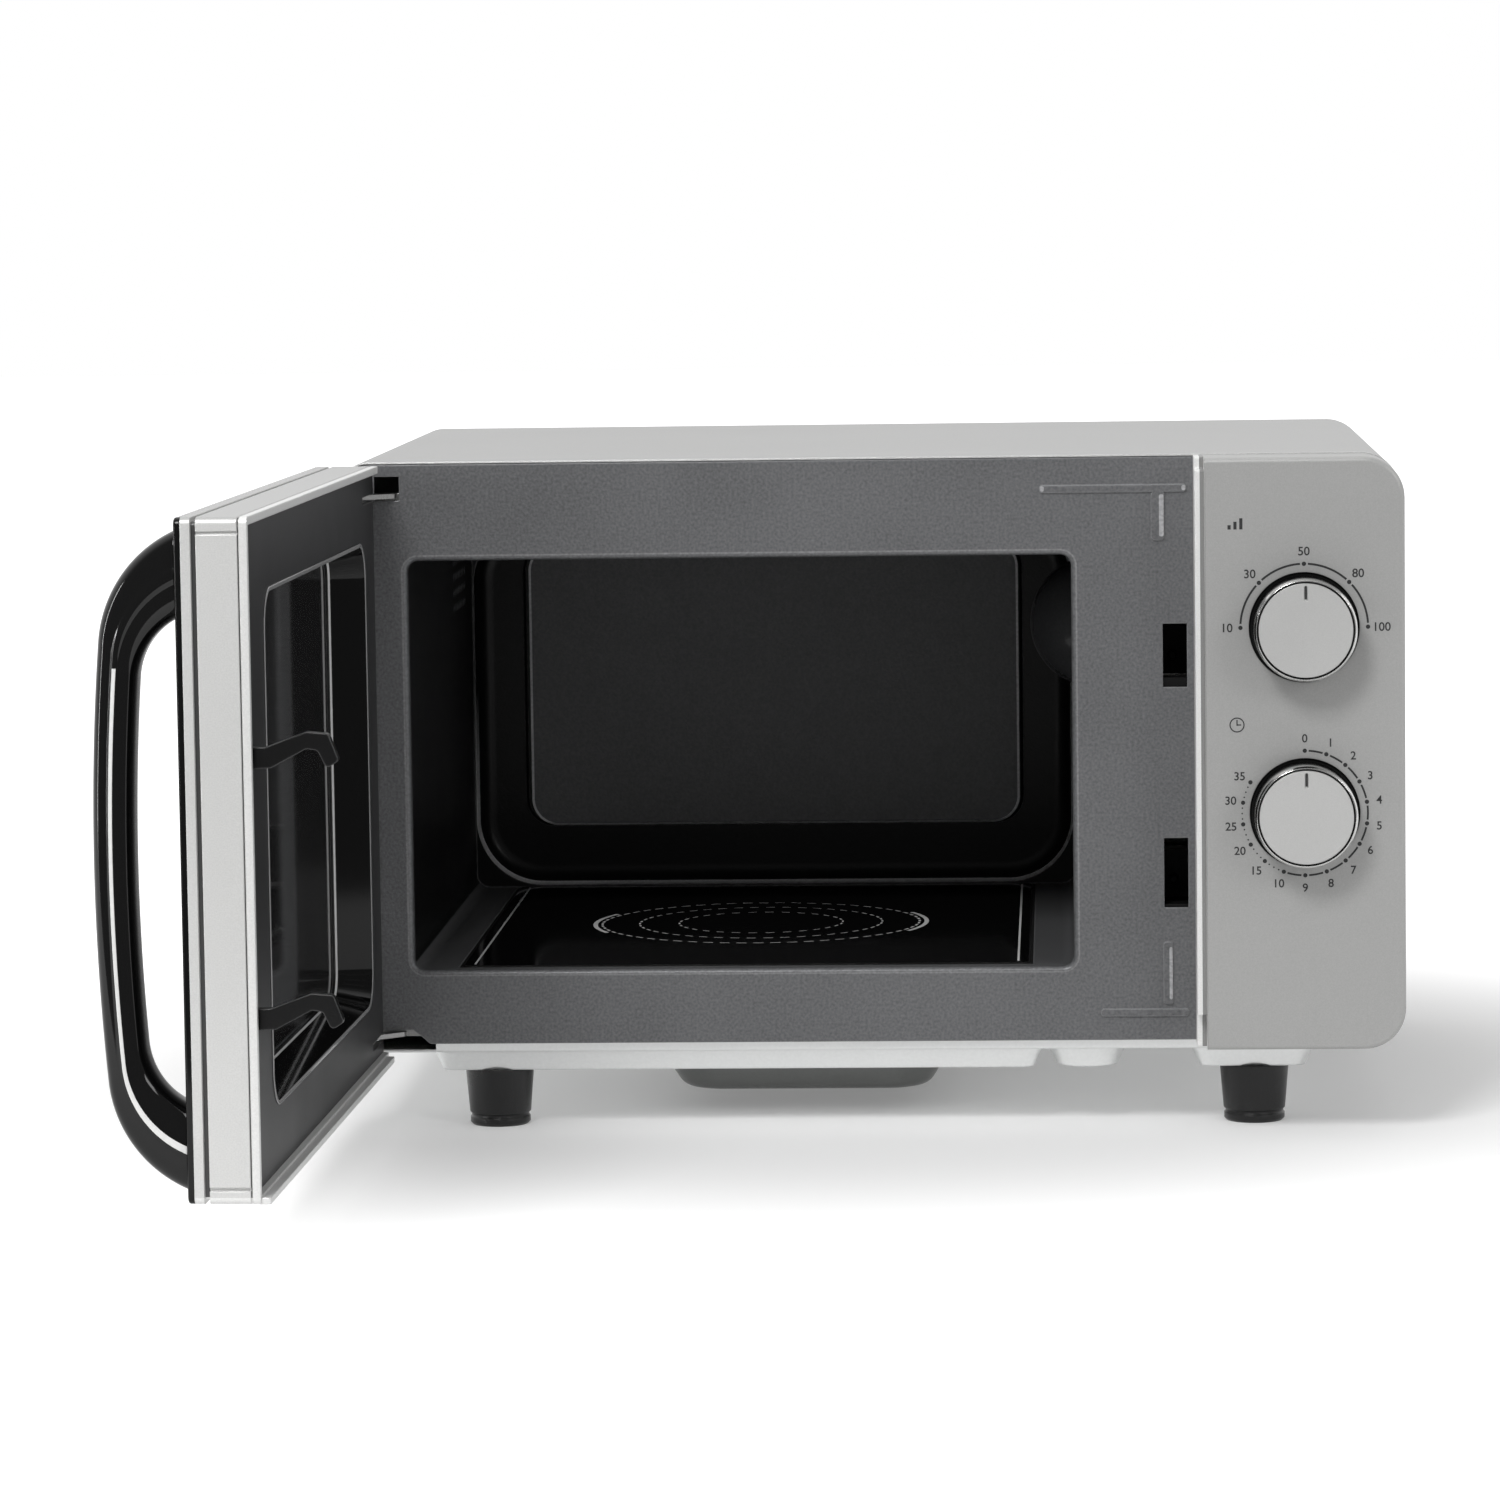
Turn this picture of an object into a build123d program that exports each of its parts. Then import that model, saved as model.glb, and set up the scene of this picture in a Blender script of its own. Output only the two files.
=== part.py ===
"""A countertop microwave oven with two knobs, a flat glass floor and a side-hinged door.

Millimetres.  +X is the viewer's right, +Y goes back into the oven and +Z is up.
The origin is on the table, in the middle of the four feet.
The door is drawn open, as it stands in use, and turns about its hinge pins.
"""
import os
from math import atan2, cos, degrees, radians, sin

from build123d import *

os.makedirs("parts", exist_ok=True)

# Cabinet
WIDTH = 440.0
TOP_Z = 281.0
DEPTH = 312.0  # from the front plate's face to the back panel's face
FACE_Y = -147.0  # the front plate's face
BACK_Y = FACE_Y + DEPTH
COVER_SHEET = 0.8
SHEET = 1.0
GAP = 0.3
COVER_BOTTOM = 37.0
LEFT_CORNER = 12.0
RIGHT_CORNER = 17.0

# Feet and base
FOOT_X = 159.0
FOOT_Y = 125.0
FOOT_HEIGHT = 24.5
FOOT_RADIUS_TOP = 14.5
FOOT_RADIUS_LOW = 12.7
RECESS_RADIUS = 5.0
RECESS_DEPTH = 14.0
BASE_SHEET = 1.2
BASE_Z = 33.0  # underside of the base between its pressed troughs
TROUGH_DEPTH = BASE_Z - FOOT_HEIGHT
TROUGHS = ((-186.0, 71.0), (132.0, 184.0))
BOSS_X = 89.0  # a round boss pressed beside the left trough
BOSS_RADIUS = 17.0
TROUGH_CORNER = 10.0
TROUGH_TAPER = 25.0
WELL_BOX = (-93.5, 31.5, FACE_Y + 40.0, FACE_Y + 200.0)
WELL_CORNER = 28.0
WELL_DEPTH = 15.5  # how far the motor well hangs below the trough
WELL_TAPER = 33.0
WELL_ROUND = 7.0
RIM_HEIGHT = 14.0
BASE_RIGHT = 188.0
SCREW_RADIUS = 2.0
BACK_SCREW_SPOTS = ((-212.0, 58.0), (-212.0, 250.0), (212.0, 58.0), (212.0, 250.0))
GLAND_SPOT = (185.0, 62.0)
GLAND_RADIUS = 8.0

# Cooking space
OPEN_X0 = -194.5
OPEN_X1 = 86.1
OPEN_Z0 = 65.7
OPEN_Z1 = 242.1
OPEN_CORNER = 7.0
LIP = 2.3
LIP_DEPTH = 6.0
FLOOR_Z = 68.0
CAVITY_DEPTH = 299.0
CAVITY_ROUND = 9.0
BACK_DRAW = 10.0  # the back wall is a drawn plate with large corners
BACK_STEP = 2.0
BACK_CORNER = 30.0
PLATE_X0 = -173.0
PLATE_X1 = 65.5
PLATE_Y0 = FACE_Y + 10.0
PLATE_Y1 = FACE_Y + 287.0
PLATE_THICK = 4.0
PLATE_TOP = 68.5
LEDGE_Z = PLATE_TOP - PLATE_THICK
SEAL_GAP = 1.2
LEDGE = 9.0
CAVITY_X = (OPEN_X0 + OPEN_X1) / 2
STIRRER_Y = FACE_Y + 150.0

# Door, in its own axes: u along the door from the hinge, w outwards, z up
OPEN_ANGLE = 91.2
HINGE_X = -214.5
HINGE_Y = FACE_Y - 13.0
DOOR_U0 = -5.5
DOOR_U1 = 347.9
DOOR_Z0 = 32.0
DOOR_Z1 = 280.0
DOOR_IN = -12.0  # inner edge of the frame
DOOR_FACE = -9.5  # face of the inner cover, set inside the frame
DOOR_COVER = -6.9  # back of the inner cover
DOOR_RIM = 12.1  # back of the black front panel
DOOR_OUT = 14.6  # front face
FRAME_WALL = 3.0
FLANGE = 24.0
DISH_U0 = 25.4
DISH_U1 = 296.4
DISH_Z0 = 60.0
DISH_Z1 = 249.0
DISH_CORNER = 14.0
DISH_DEPTH = 15.5
DISH_TAPER = 14.0
DISH_WALL = 1.6
DISH_RIM = 0.5  # how far the rim stands out of the charcoal face
DISH_FOOT = 2.5
PIN_RADIUS = 2.5
RUNNING_FIT = 0.05
HINGE_STRAP = 2.0
HINGE_POCKET = (-6.0, 26.0, -3.8, 12.5)  # along the door and towards its inner face
GROOVE_W = 6.5
GROOVE_WIDTH = 2.0
LIP_LINE_W = -9.0
END_RAIL = 5.0  # height of the rails at the top and bottom of the free edge
HINGE_TOP_Z = 266.0
HINGE_LOW_Z = 40.3

# Latch
HOOK_U = 340.5
HOOK_THICK = 4.0
HOOK_REACH = -42.7  # w of the hook tips
HOOK_ROOTS = (189.0, 94.5)  # underside of each arm
ARM_HEIGHT = 8.0
LATCH_LIFT = 4.5
SLOT_X0 = 121.5
SLOT_X1 = 131.5
SLOT_SPANS = ((184.4, 210.8), (92.4, 121.5))
HOOK_X = HINGE_X + HOOK_U  # where the hooks stand when the door is shut

# Handle, a bow on the door's front close to its free edge
HANDLE_U0 = 324.0
HANDLE_U1 = 346.0
HANDLE_Z0 = 35.5
HANDLE_Z1 = 275.5
HANDLE_ROOT = 32.0
HANDLE_REACH = 33.0
HANDLE_BAR = 15.0
HANDLE_ROUND = 6.0
HANDLE_SCREWS = ((333.5, 259.5), (333.5, 57.5))  # u and z

# Controls
FASCIA_X0 = 134.4
FASCIA_Z0 = 36.5
FASCIA_Z1 = 280.5
FASCIA_DEPTH = 27.6
FASCIA_WALL = 2.5
FASCIA_STEP = 4.0
FASCIA_ROUND = 2.0
DIAL_SINK = 1.0
KNOB_X = 178.8
POWER_Z = 210.9
TIMER_Z = 134.5
KNOB_RADIUS = 21.3
KNOB_FACE = 19.4
KNOB_HEIGHT = 18.0
SHAFT_RADIUS = 3.0

# Inner machinery
GUIDE_Z0 = 35.0
GUIDE_HALF = 45.0
GUIDE_X0 = -92.0
GUIDE_X1 = 178.0
GUIDE_HOLE = 14.0
WELL_Z = 52.8
MAGNETRON_X = 146.0
STIRRER_SHAFT = 4.0
STIRRER_RADIUS = 72.0
STIRRER_Z = 57.5
MOTOR_RADIUS = 24.0
MOTOR_HEIGHT = 17.0
FAN_X = 152.0
FAN_Z = 190.0
FAN_RADIUS = 48.0
LAMP_Y = FACE_Y + 130.0
LAMP_Z = 202.0
LAMP_HOLE = 19.0
LAMP_RIM = 27.0
LAMP_DOME = 19.0
SWITCH_Y = FACE_Y + 36.0
PLUNGER_Y = FACE_Y + 30.3
PLUNGER_RADIUS = 1.8

# Planes: the front looks at the viewer, the door planes follow the open door
FRONT = Plane(origin=(0, FACE_Y, 0), x_dir=(1, 0, 0), z_dir=(0, -1, 0))
ALONG = Vector(cos(radians(OPEN_ANGLE)), -sin(radians(OPEN_ANGLE)), 0)
OUTWARD = Vector(-sin(radians(OPEN_ANGLE)), -cos(radians(OPEN_ANGLE)), 0)
HINGE = Vector(HINGE_X, HINGE_Y, 0)
DOOR = Plane(origin=HINGE, x_dir=ALONG, z_dir=OUTWARD)


def span(x0, x1, y0, y1, radius=0.0, mode=Mode.ADD):
    """Draw a rectangle between its edges, with rounded corners if a radius is given."""
    with Locations(((x0 + x1) / 2, (y0 + y1) / 2)):
        if radius:
            RectangleRounded(x1 - x0, y1 - y0, radius, mode=mode)
        else:
            Rectangle(x1 - x0, y1 - y0, mode=mode)


def door_level(z):
    """A level plane at height z, with x along the door and y towards its inner face."""
    return Plane(origin=HINGE + Vector(0, 0, z), x_dir=ALONG, z_dir=(0, 0, 1))


def door_side(u):
    """An upright plane across the door at u, with x outwards and y up; it looks at the hinge."""
    return Plane(origin=HINGE + ALONG * u, x_dir=OUTWARD, z_dir=ALONG * -1)


def across(x, z):
    """A level plane on a front-to-back axis, with x to the right and y back."""
    return Plane(origin=(x, 0, z), x_dir=(1, 0, 0), z_dir=(0, 0, 1))


def upright(x, y):
    """A plane through a vertical axis, with x as the radius and y up."""
    return Plane(origin=(x, y, 0), x_dir=(1, 0, 0), z_dir=(0, -1, 0))


def trim_lower_corner():
    """Cuts a sheet's lower right corner to fit inside the cover's turned-in edge."""
    x = WIDTH / 2 - RIGHT_CORNER
    z = COVER_BOTTOM + RIGHT_CORNER
    reach = RIGHT_CORNER - COVER_SHEET - GAP
    slant = reach * cos(radians(45))
    with BuildLine() as cut:
        Polyline((x, z - reach), (x, COVER_BOTTOM - 1), (WIDTH / 2, COVER_BOTTOM - 1),
                 (WIDTH / 2, z), (x + reach, z))
        ThreePointArc((x + reach, z), (x + slant, z - slant), (x, z - reach))
    make_face(cut.edges(), mode=Mode.SUBTRACT)


# Front plate: pressed steel round the oven's mouth, with slots for the latch and hinges
with BuildPart() as front_plate:
    edge = WIDTH / 2 - COVER_SHEET - GAP
    with BuildSketch(FRONT) as outline:
        span(-edge, edge, COVER_BOTTOM, TOP_Z - COVER_SHEET - GAP)
        fillet(outline.vertices().group_by(Axis.Y)[-1].sort_by(Axis.X)[0], LEFT_CORNER - 1)
        fillet(outline.vertices().group_by(Axis.Y)[-1].sort_by(Axis.X)[-1], RIGHT_CORNER - 1)
        trim_lower_corner()
        span(OPEN_X0, OPEN_X1, OPEN_Z0, OPEN_Z1, OPEN_CORNER, Mode.SUBTRACT)
        for low, high in SLOT_SPANS:
            span(SLOT_X0, SLOT_X1, low, high, mode=Mode.SUBTRACT)
        span(-205.2, -194.8, HINGE_TOP_Z - 1, 275, mode=Mode.SUBTRACT)
        span(146, 212, 105, 240, mode=Mode.SUBTRACT)
        with BuildLine():
            Polyline((-edge, COVER_BOTTOM), (-186, COVER_BOTTOM), (-193, 43), (-edge, 43), close=True)
        make_face(mode=Mode.SUBTRACT)
    extrude(amount=-SHEET)
    with BuildSketch(FRONT):
        span(OPEN_X0, OPEN_X1, OPEN_Z0, OPEN_Z1, OPEN_CORNER)
        span(
            OPEN_X0 + LIP, OPEN_X1 - LIP, OPEN_Z0 + LIP, OPEN_Z1 - LIP,
            OPEN_CORNER - LIP, Mode.SUBTRACT,
        )
    extrude(amount=-LIP_DEPTH)
    mouth = front_plate.faces().filter_by(Axis.Y).sort_by(Axis.Y)[0].inner_wires()
    fillet(mouth.sort_by(SortBy.LENGTH)[-1].edges(), LIP - 0.2)
    with BuildSketch(FRONT):
        span(71, 131.5, 265.5, 268.5, 1.2)
        span(95, 131.5, 47, 50, 1.2)
        span(117, 122.5, 245.5, 266, 2)
        span(121, 125, 52, 78, 1.2)
    extrude(amount=0.9)
front_plate.part.label = "front_plate"
export_step(front_plate.part, "parts/front_plate.step")

# The room inside the cavity, cut out of the liner below
with BuildPart() as cavity_room:
    with BuildSketch(FRONT.offset(-LIP_DEPTH)):
        span(OPEN_X0 + SHEET, OPEN_X1 - SHEET, FLOOR_Z, OPEN_Z1 - SHEET, OPEN_CORNER - SHEET)
    extrude(amount=-(CAVITY_DEPTH - LIP_DEPTH - BACK_DRAW))
    with BuildSketch(FRONT.offset(BACK_DRAW - CAVITY_DEPTH)):
        span(OPEN_X0 + BACK_STEP, OPEN_X1 - BACK_STEP,
             FLOOR_Z + BACK_STEP - SHEET, OPEN_Z1 - BACK_STEP, BACK_CORNER)
    extrude(amount=-BACK_DRAW)
    fillet(cavity_room.faces().sort_by(Axis.Y)[-1].edges(), CAVITY_ROUND - SHEET)

# Cavity liner: the enamelled tub, with a sunk ledge in its floor for the glass
with BuildPart() as cavity_liner:
    with BuildSketch(FRONT.offset(-LIP_DEPTH)):
        span(OPEN_X0, OPEN_X1, FLOOR_Z - SHEET, OPEN_Z1, OPEN_CORNER)
    extrude(amount=-(CAVITY_DEPTH + SHEET - LIP_DEPTH))
    fillet(cavity_liner.faces().sort_by(Axis.Y)[-1].edges(), CAVITY_ROUND)
    with BuildSketch(Plane.XY.offset(FLOOR_Z - SHEET / 2)):
        wall = SEAL_GAP + SHEET
        span(PLATE_X0 - wall, PLATE_X1 + wall, PLATE_Y0 - wall, PLATE_Y1 + wall)
    extrude(amount=LEDGE_Z - SHEET - (FLOOR_Z - SHEET / 2))
    add(cavity_room.part, mode=Mode.SUBTRACT)
    with BuildSketch(Plane.XY.offset(LEDGE_Z)):
        span(PLATE_X0 - SEAL_GAP, PLATE_X1 + SEAL_GAP, PLATE_Y0 - SEAL_GAP, PLATE_Y1 + SEAL_GAP)
    extrude(amount=PLATE_THICK, mode=Mode.SUBTRACT)
    with BuildSketch(Plane.XY.offset(LEDGE_Z)):
        span(PLATE_X0 + LEDGE, PLATE_X1 - LEDGE, PLATE_Y0 + LEDGE, PLATE_Y1 - LEDGE)
    extrude(amount=-2 * SHEET, mode=Mode.SUBTRACT)
    with BuildSketch(FRONT.offset(-CAVITY_DEPTH)):
        span(PLATE_X0 + 2.5, PLATE_X1 - 4, 95.6, 228, 13)
    extrude(amount=2.5, taper=30)
    with BuildSketch(Plane.YZ.offset(OPEN_X1)):
        with Locations((LAMP_Y, LAMP_Z)):
            Circle(LAMP_HOLE)
    extrude(amount=-2 * SHEET, mode=Mode.SUBTRACT)
    with BuildSketch(Plane.YZ.offset(OPEN_X0)):
        with Locations((FACE_Y + 230, 215)):
            with GridLocations(7, 7, 8, 4):
                Circle(1.8)
    extrude(amount=2 * SHEET, mode=Mode.SUBTRACT)
cavity_liner.part.label = "cavity_liner"
export_step(cavity_liner.part, "parts/cavity_liner.step")

# Outer cover: one folded sheet over the top and both sides, with cooling slots
with BuildPart() as outer_cover:
    half = WIDTH / 2
    with BuildSketch(FRONT) as outside:
        span(-half, half, COVER_BOTTOM, TOP_Z)
        fillet(outside.vertices().group_by(Axis.Y)[-1].sort_by(Axis.X)[0], LEFT_CORNER)
        fillet(outside.vertices().group_by(Axis.Y)[-1].sort_by(Axis.X)[-1], RIGHT_CORNER)
        fillet(outside.vertices().group_by(Axis.Y)[0].sort_by(Axis.X)[-1], RIGHT_CORNER)
    extrude(amount=-DEPTH)
    with BuildSketch(FRONT) as inside:
        span(-half + COVER_SHEET, half - COVER_SHEET, COVER_BOTTOM + COVER_SHEET, TOP_Z - COVER_SHEET)
        fillet(inside.vertices().group_by(Axis.Y)[-1].sort_by(Axis.X)[0], LEFT_CORNER - COVER_SHEET)
        fillet(inside.vertices().group_by(Axis.Y)[-1].sort_by(Axis.X)[-1], RIGHT_CORNER - COVER_SHEET)
        fillet(inside.vertices().group_by(Axis.Y)[0].sort_by(Axis.X)[-1], RIGHT_CORNER - COVER_SHEET)
        span(-half + COVER_SHEET, half - RIGHT_CORNER, COVER_BOTTOM, COVER_BOTTOM + 2 * COVER_SHEET)
    extrude(amount=-DEPTH, mode=Mode.SUBTRACT)
    with BuildSketch(Plane.YZ.offset(half)):
        with Locations((FACE_Y + 205, 150)):
            with GridLocations(34, 9, 4, 7):
                SlotOverall(26, 3.2)
    extrude(amount=-2 * COVER_SHEET, mode=Mode.SUBTRACT)
    with BuildSketch(Plane.YZ.offset(-half)):
        with Locations((FACE_Y + 235, 215)):
            with GridLocations(34, 9, 3, 5):
                SlotOverall(26, 3.2)
    extrude(amount=2 * COVER_SHEET, mode=Mode.SUBTRACT)
    with BuildSketch(FRONT.offset(-DEPTH + SHEET)) as flange:
        span(-half + COVER_SHEET, half - COVER_SHEET, COVER_BOTTOM + RIGHT_CORNER + 1, TOP_Z - COVER_SHEET)
        fillet(flange.vertices().group_by(Axis.Y)[-1].sort_by(Axis.X)[0], LEFT_CORNER - COVER_SHEET)
        fillet(flange.vertices().group_by(Axis.Y)[-1].sort_by(Axis.X)[-1], RIGHT_CORNER - COVER_SHEET)
        span(-half + 14, half - 14, COVER_BOTTOM, TOP_Z - 14, mode=Mode.SUBTRACT)
        with Locations(*BACK_SCREW_SPOTS):
            Circle(SCREW_RADIUS + 0.1, mode=Mode.SUBTRACT)
    extrude(amount=COVER_SHEET)
outer_cover.part.label = "outer_cover"
export_step(outer_cover.part, "parts/outer_cover.step")

# The room inside the motor well, cut out of the base plate below
with BuildPart() as well_room:
    with BuildSketch(Plane.XY.offset(FOOT_HEIGHT + BASE_SHEET)):
        x0, x1, y0, y1 = WELL_BOX
        span(x0 + BASE_SHEET, x1 - BASE_SHEET, y0 + BASE_SHEET, y1 - BASE_SHEET, WELL_CORNER - BASE_SHEET)
    extrude(amount=-WELL_DEPTH, taper=WELL_TAPER)
    fillet(well_room.faces().sort_by(Axis.Z)[0].edges(), WELL_ROUND - BASE_SHEET)

# Base plate: a pan with two pressed troughs, a motor well, vents and an upturned rim
BASE_SETBACK = 3.0  # room for the door's bottom ledge in front of the rim
with BuildPart() as base_plate:
    side = WIDTH / 2 - COVER_SHEET - GAP
    front_edge = FACE_Y + BASE_SETBACK
    back_edge = BACK_Y - SHEET - GAP
    with BuildSketch(Plane.XY.offset(BASE_Z)):
        span(-side, BASE_RIGHT, front_edge, back_edge)
    extrude(amount=BASE_SHEET)
    with BuildSketch(Plane.XY.offset(BASE_Z)):
        span(-side, BASE_RIGHT, front_edge, back_edge)
        span(-side + BASE_SHEET, BASE_RIGHT - BASE_SHEET, front_edge + BASE_SHEET, back_edge - BASE_SHEET,
             mode=Mode.SUBTRACT)
    extrude(amount=RIM_HEIGHT)
    with BuildSketch(Plane.XY.offset(BASE_Z + BASE_SHEET)):
        span(-208, -184, front_edge, front_edge + 2)
    extrude(amount=RIM_HEIGHT, mode=Mode.SUBTRACT)
    with BuildSketch(Plane.XY.offset(BASE_Z)):
        for x0, x1 in TROUGHS:
            span(x0, x1, front_edge + 2, back_edge - 2, TROUGH_CORNER)
        with Locations((BOSS_X, front_edge + 2 + BOSS_RADIUS)):
            Circle(BOSS_RADIUS)
    extrude(amount=-TROUGH_DEPTH, taper=TROUGH_TAPER)
    with BuildSketch(Plane.XY.offset(FOOT_HEIGHT)):
        span(*WELL_BOX, WELL_CORNER)
    extrude(amount=-WELL_DEPTH, taper=WELL_TAPER)
    fillet(base_plate.faces().sort_by(Axis.Z)[0].edges(), WELL_ROUND)
    with BuildSketch(Plane.XY.offset(BASE_Z + BASE_SHEET)):
        for x0, x1 in TROUGHS:
            span(x0 + BASE_SHEET, x1 - BASE_SHEET, front_edge + 2 + BASE_SHEET,
                 back_edge - 2 - BASE_SHEET, TROUGH_CORNER - BASE_SHEET)
        with Locations((BOSS_X, front_edge + 2 + BOSS_RADIUS)):
            Circle(BOSS_RADIUS - BASE_SHEET)
    extrude(amount=-TROUGH_DEPTH, taper=TROUGH_TAPER, mode=Mode.SUBTRACT)
    add(well_room.part, mode=Mode.SUBTRACT)
    with BuildSketch(Plane.XY.offset(FOOT_HEIGHT)):
        with GridLocations(2 * FOOT_X, 2 * FOOT_Y, 2, 2):
            Circle(SCREW_RADIUS + 0.2)
        with Locations((52, STIRRER_Y + 60)):
            with GridLocations(8, 30, 4, 3):
                SlotOverall(24, 3.5, rotation=90)
    extrude(amount=2 * BASE_SHEET, mode=Mode.SUBTRACT)
base_plate.part.label = "base_plate"
export_step(base_plate.part, "parts/base_plate.step")

# Back panel: a flat sheet with a grid of air slots, a raised bead and the cord hole
with BuildPart() as back_panel:
    with BuildSketch(FRONT.offset(-DEPTH)) as outline:
        span(-side, side, COVER_BOTTOM, TOP_Z - COVER_SHEET - GAP)
        fillet(outline.vertices().group_by(Axis.Y)[-1].sort_by(Axis.X)[0], LEFT_CORNER - 1)
        fillet(outline.vertices().group_by(Axis.Y)[-1].sort_by(Axis.X)[-1], RIGHT_CORNER - 1)
        trim_lower_corner()
        with Locations((FAN_X, FAN_Z)):
            with GridLocations(30, 8, 3, 9):
                SlotOverall(24, 4, mode=Mode.SUBTRACT)
        with Locations((-120, 215)):
            with GridLocations(30, 8, 3, 4):
                SlotOverall(24, 4, mode=Mode.SUBTRACT)
        with Locations(GLAND_SPOT):
            Circle(GLAND_RADIUS + RUNNING_FIT, mode=Mode.SUBTRACT)
        with Locations(*BACK_SCREW_SPOTS):
            Circle(SCREW_RADIUS + 0.2, mode=Mode.SUBTRACT)
    extrude(amount=SHEET)
    with BuildSketch(FRONT.offset(-DEPTH)):
        span(-205, 95, 60, 262, 14)
        span(-199, 89, 66, 256, 10, Mode.SUBTRACT)
    extrude(amount=-1.5)
back_panel.part.label = "back_panel"
export_step(back_panel.part, "parts/back_panel.step")

# Control fascia: a moulded plastic box that carries the dials, stepped along the door side
with BuildPart() as control_fascia:
    with BuildSketch(FRONT) as outline:
        span(FASCIA_X0, WIDTH / 2, FASCIA_Z0, FASCIA_Z1)
        fillet(outline.vertices().group_by(Axis.X)[-1], RIGHT_CORNER)
    extrude(amount=FASCIA_DEPTH)
    fillet(control_fascia.faces().sort_by(Axis.Y)[0].edges(), FASCIA_ROUND)
    with BuildSketch(FRONT.offset(FASCIA_DEPTH)):
        span(FASCIA_X0, FASCIA_X0 + FASCIA_STEP, FASCIA_Z0, FASCIA_Z1)
    extrude(amount=-FASCIA_STEP, mode=Mode.SUBTRACT)
    with BuildSketch(FRONT.offset(FASCIA_DEPTH)):
        span(FASCIA_X0, FASCIA_X0 + FASCIA_STEP, FASCIA_Z0, FASCIA_Z0 + 14)
        span(FASCIA_X0, FASCIA_X0 + FASCIA_STEP, FASCIA_Z1 - 5, FASCIA_Z1)
    extrude(amount=-3 * FASCIA_STEP, mode=Mode.SUBTRACT)
    with BuildSketch(FRONT) as hollow:
        span(FASCIA_X0 + FASCIA_STEP + FASCIA_WALL, WIDTH / 2 - FASCIA_WALL,
             FASCIA_Z0 + FASCIA_WALL, FASCIA_Z1 - FASCIA_WALL)
        fillet(hollow.vertices().group_by(Axis.X)[-1], RIGHT_CORNER - FASCIA_WALL)
    extrude(amount=FASCIA_DEPTH - FASCIA_WALL, mode=Mode.SUBTRACT)
    with BuildSketch(FRONT.offset(FASCIA_DEPTH)):
        with Locations((KNOB_X, POWER_Z), (KNOB_X, TIMER_Z)):
            Circle(KNOB_RADIUS + 1)
    extrude(amount=-DIAL_SINK, mode=Mode.SUBTRACT)
    with BuildSketch(FRONT.offset(FASCIA_DEPTH)):
        with Locations((KNOB_X, POWER_Z), (KNOB_X, TIMER_Z)):
            Circle(SHAFT_RADIUS + 2)
    extrude(amount=-2 * FASCIA_WALL, mode=Mode.SUBTRACT)
control_fascia.part.label = "control_fascia"
export_step(control_fascia.part, "parts/control_fascia.step")

# Glass floor plate, bedded on the ledge in the liner's floor
with BuildPart() as ceramic_plate:
    with BuildSketch(Plane.XY.offset(LEDGE_Z)):
        span(PLATE_X0, PLATE_X1, PLATE_Y0, PLATE_Y1, 4)
    extrude(amount=PLATE_THICK)
    chamfer(ceramic_plate.faces().sort_by(Axis.Z)[-1].edges(), 0.5)
ceramic_plate.part.label = "ceramic_plate"
export_step(ceramic_plate.part, "parts/ceramic_plate.step")

# Silicone seal that fills the joint round the glass
with BuildPart() as plate_seal:
    with BuildSketch(Plane.XY.offset(LEDGE_Z)):
        span(PLATE_X0 - SEAL_GAP, PLATE_X1 + SEAL_GAP, PLATE_Y0 - SEAL_GAP, PLATE_Y1 + SEAL_GAP)
        span(PLATE_X0, PLATE_X1, PLATE_Y0, PLATE_Y1, 4, Mode.SUBTRACT)
    extrude(amount=PLATE_THICK - 0.6)
plate_seal.part.label = "plate_seal"
export_step(plate_seal.part, "parts/plate_seal.step")

# Stirrer well: the pan under the glass in which the stirrer turns
with BuildPart() as stirrer_well:
    with BuildSketch(Plane.XY.offset(LEDGE_Z - SHEET)):
        span(PLATE_X0 + 1, PLATE_X1 - 1, PLATE_Y0 + 1, PLATE_Y1 - 1)
    extrude(amount=-SHEET)
    with BuildSketch(Plane.XY.offset(LEDGE_Z - SHEET)):
        with Locations((CAVITY_X, STIRRER_Y)):
            Circle(STIRRER_RADIUS + 12)
    extrude(amount=-(LEDGE_Z - SHEET - WELL_Z), taper=20)
    with BuildSketch(Plane.XY.offset(LEDGE_Z - SHEET)):
        with Locations((CAVITY_X, STIRRER_Y)):
            Circle(STIRRER_RADIUS + 11)
    extrude(amount=-(LEDGE_Z - 2 * SHEET - WELL_Z), taper=20, mode=Mode.SUBTRACT)
    with BuildSketch(Plane.XY.offset(WELL_Z)):
        with Locations((CAVITY_X, STIRRER_Y)):
            Circle(GUIDE_HOLE)
    extrude(amount=2 * SHEET, mode=Mode.SUBTRACT)
stirrer_well.part.label = "stirrer_well"
export_step(stirrer_well.part, "parts/stirrer_well.step")

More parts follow.
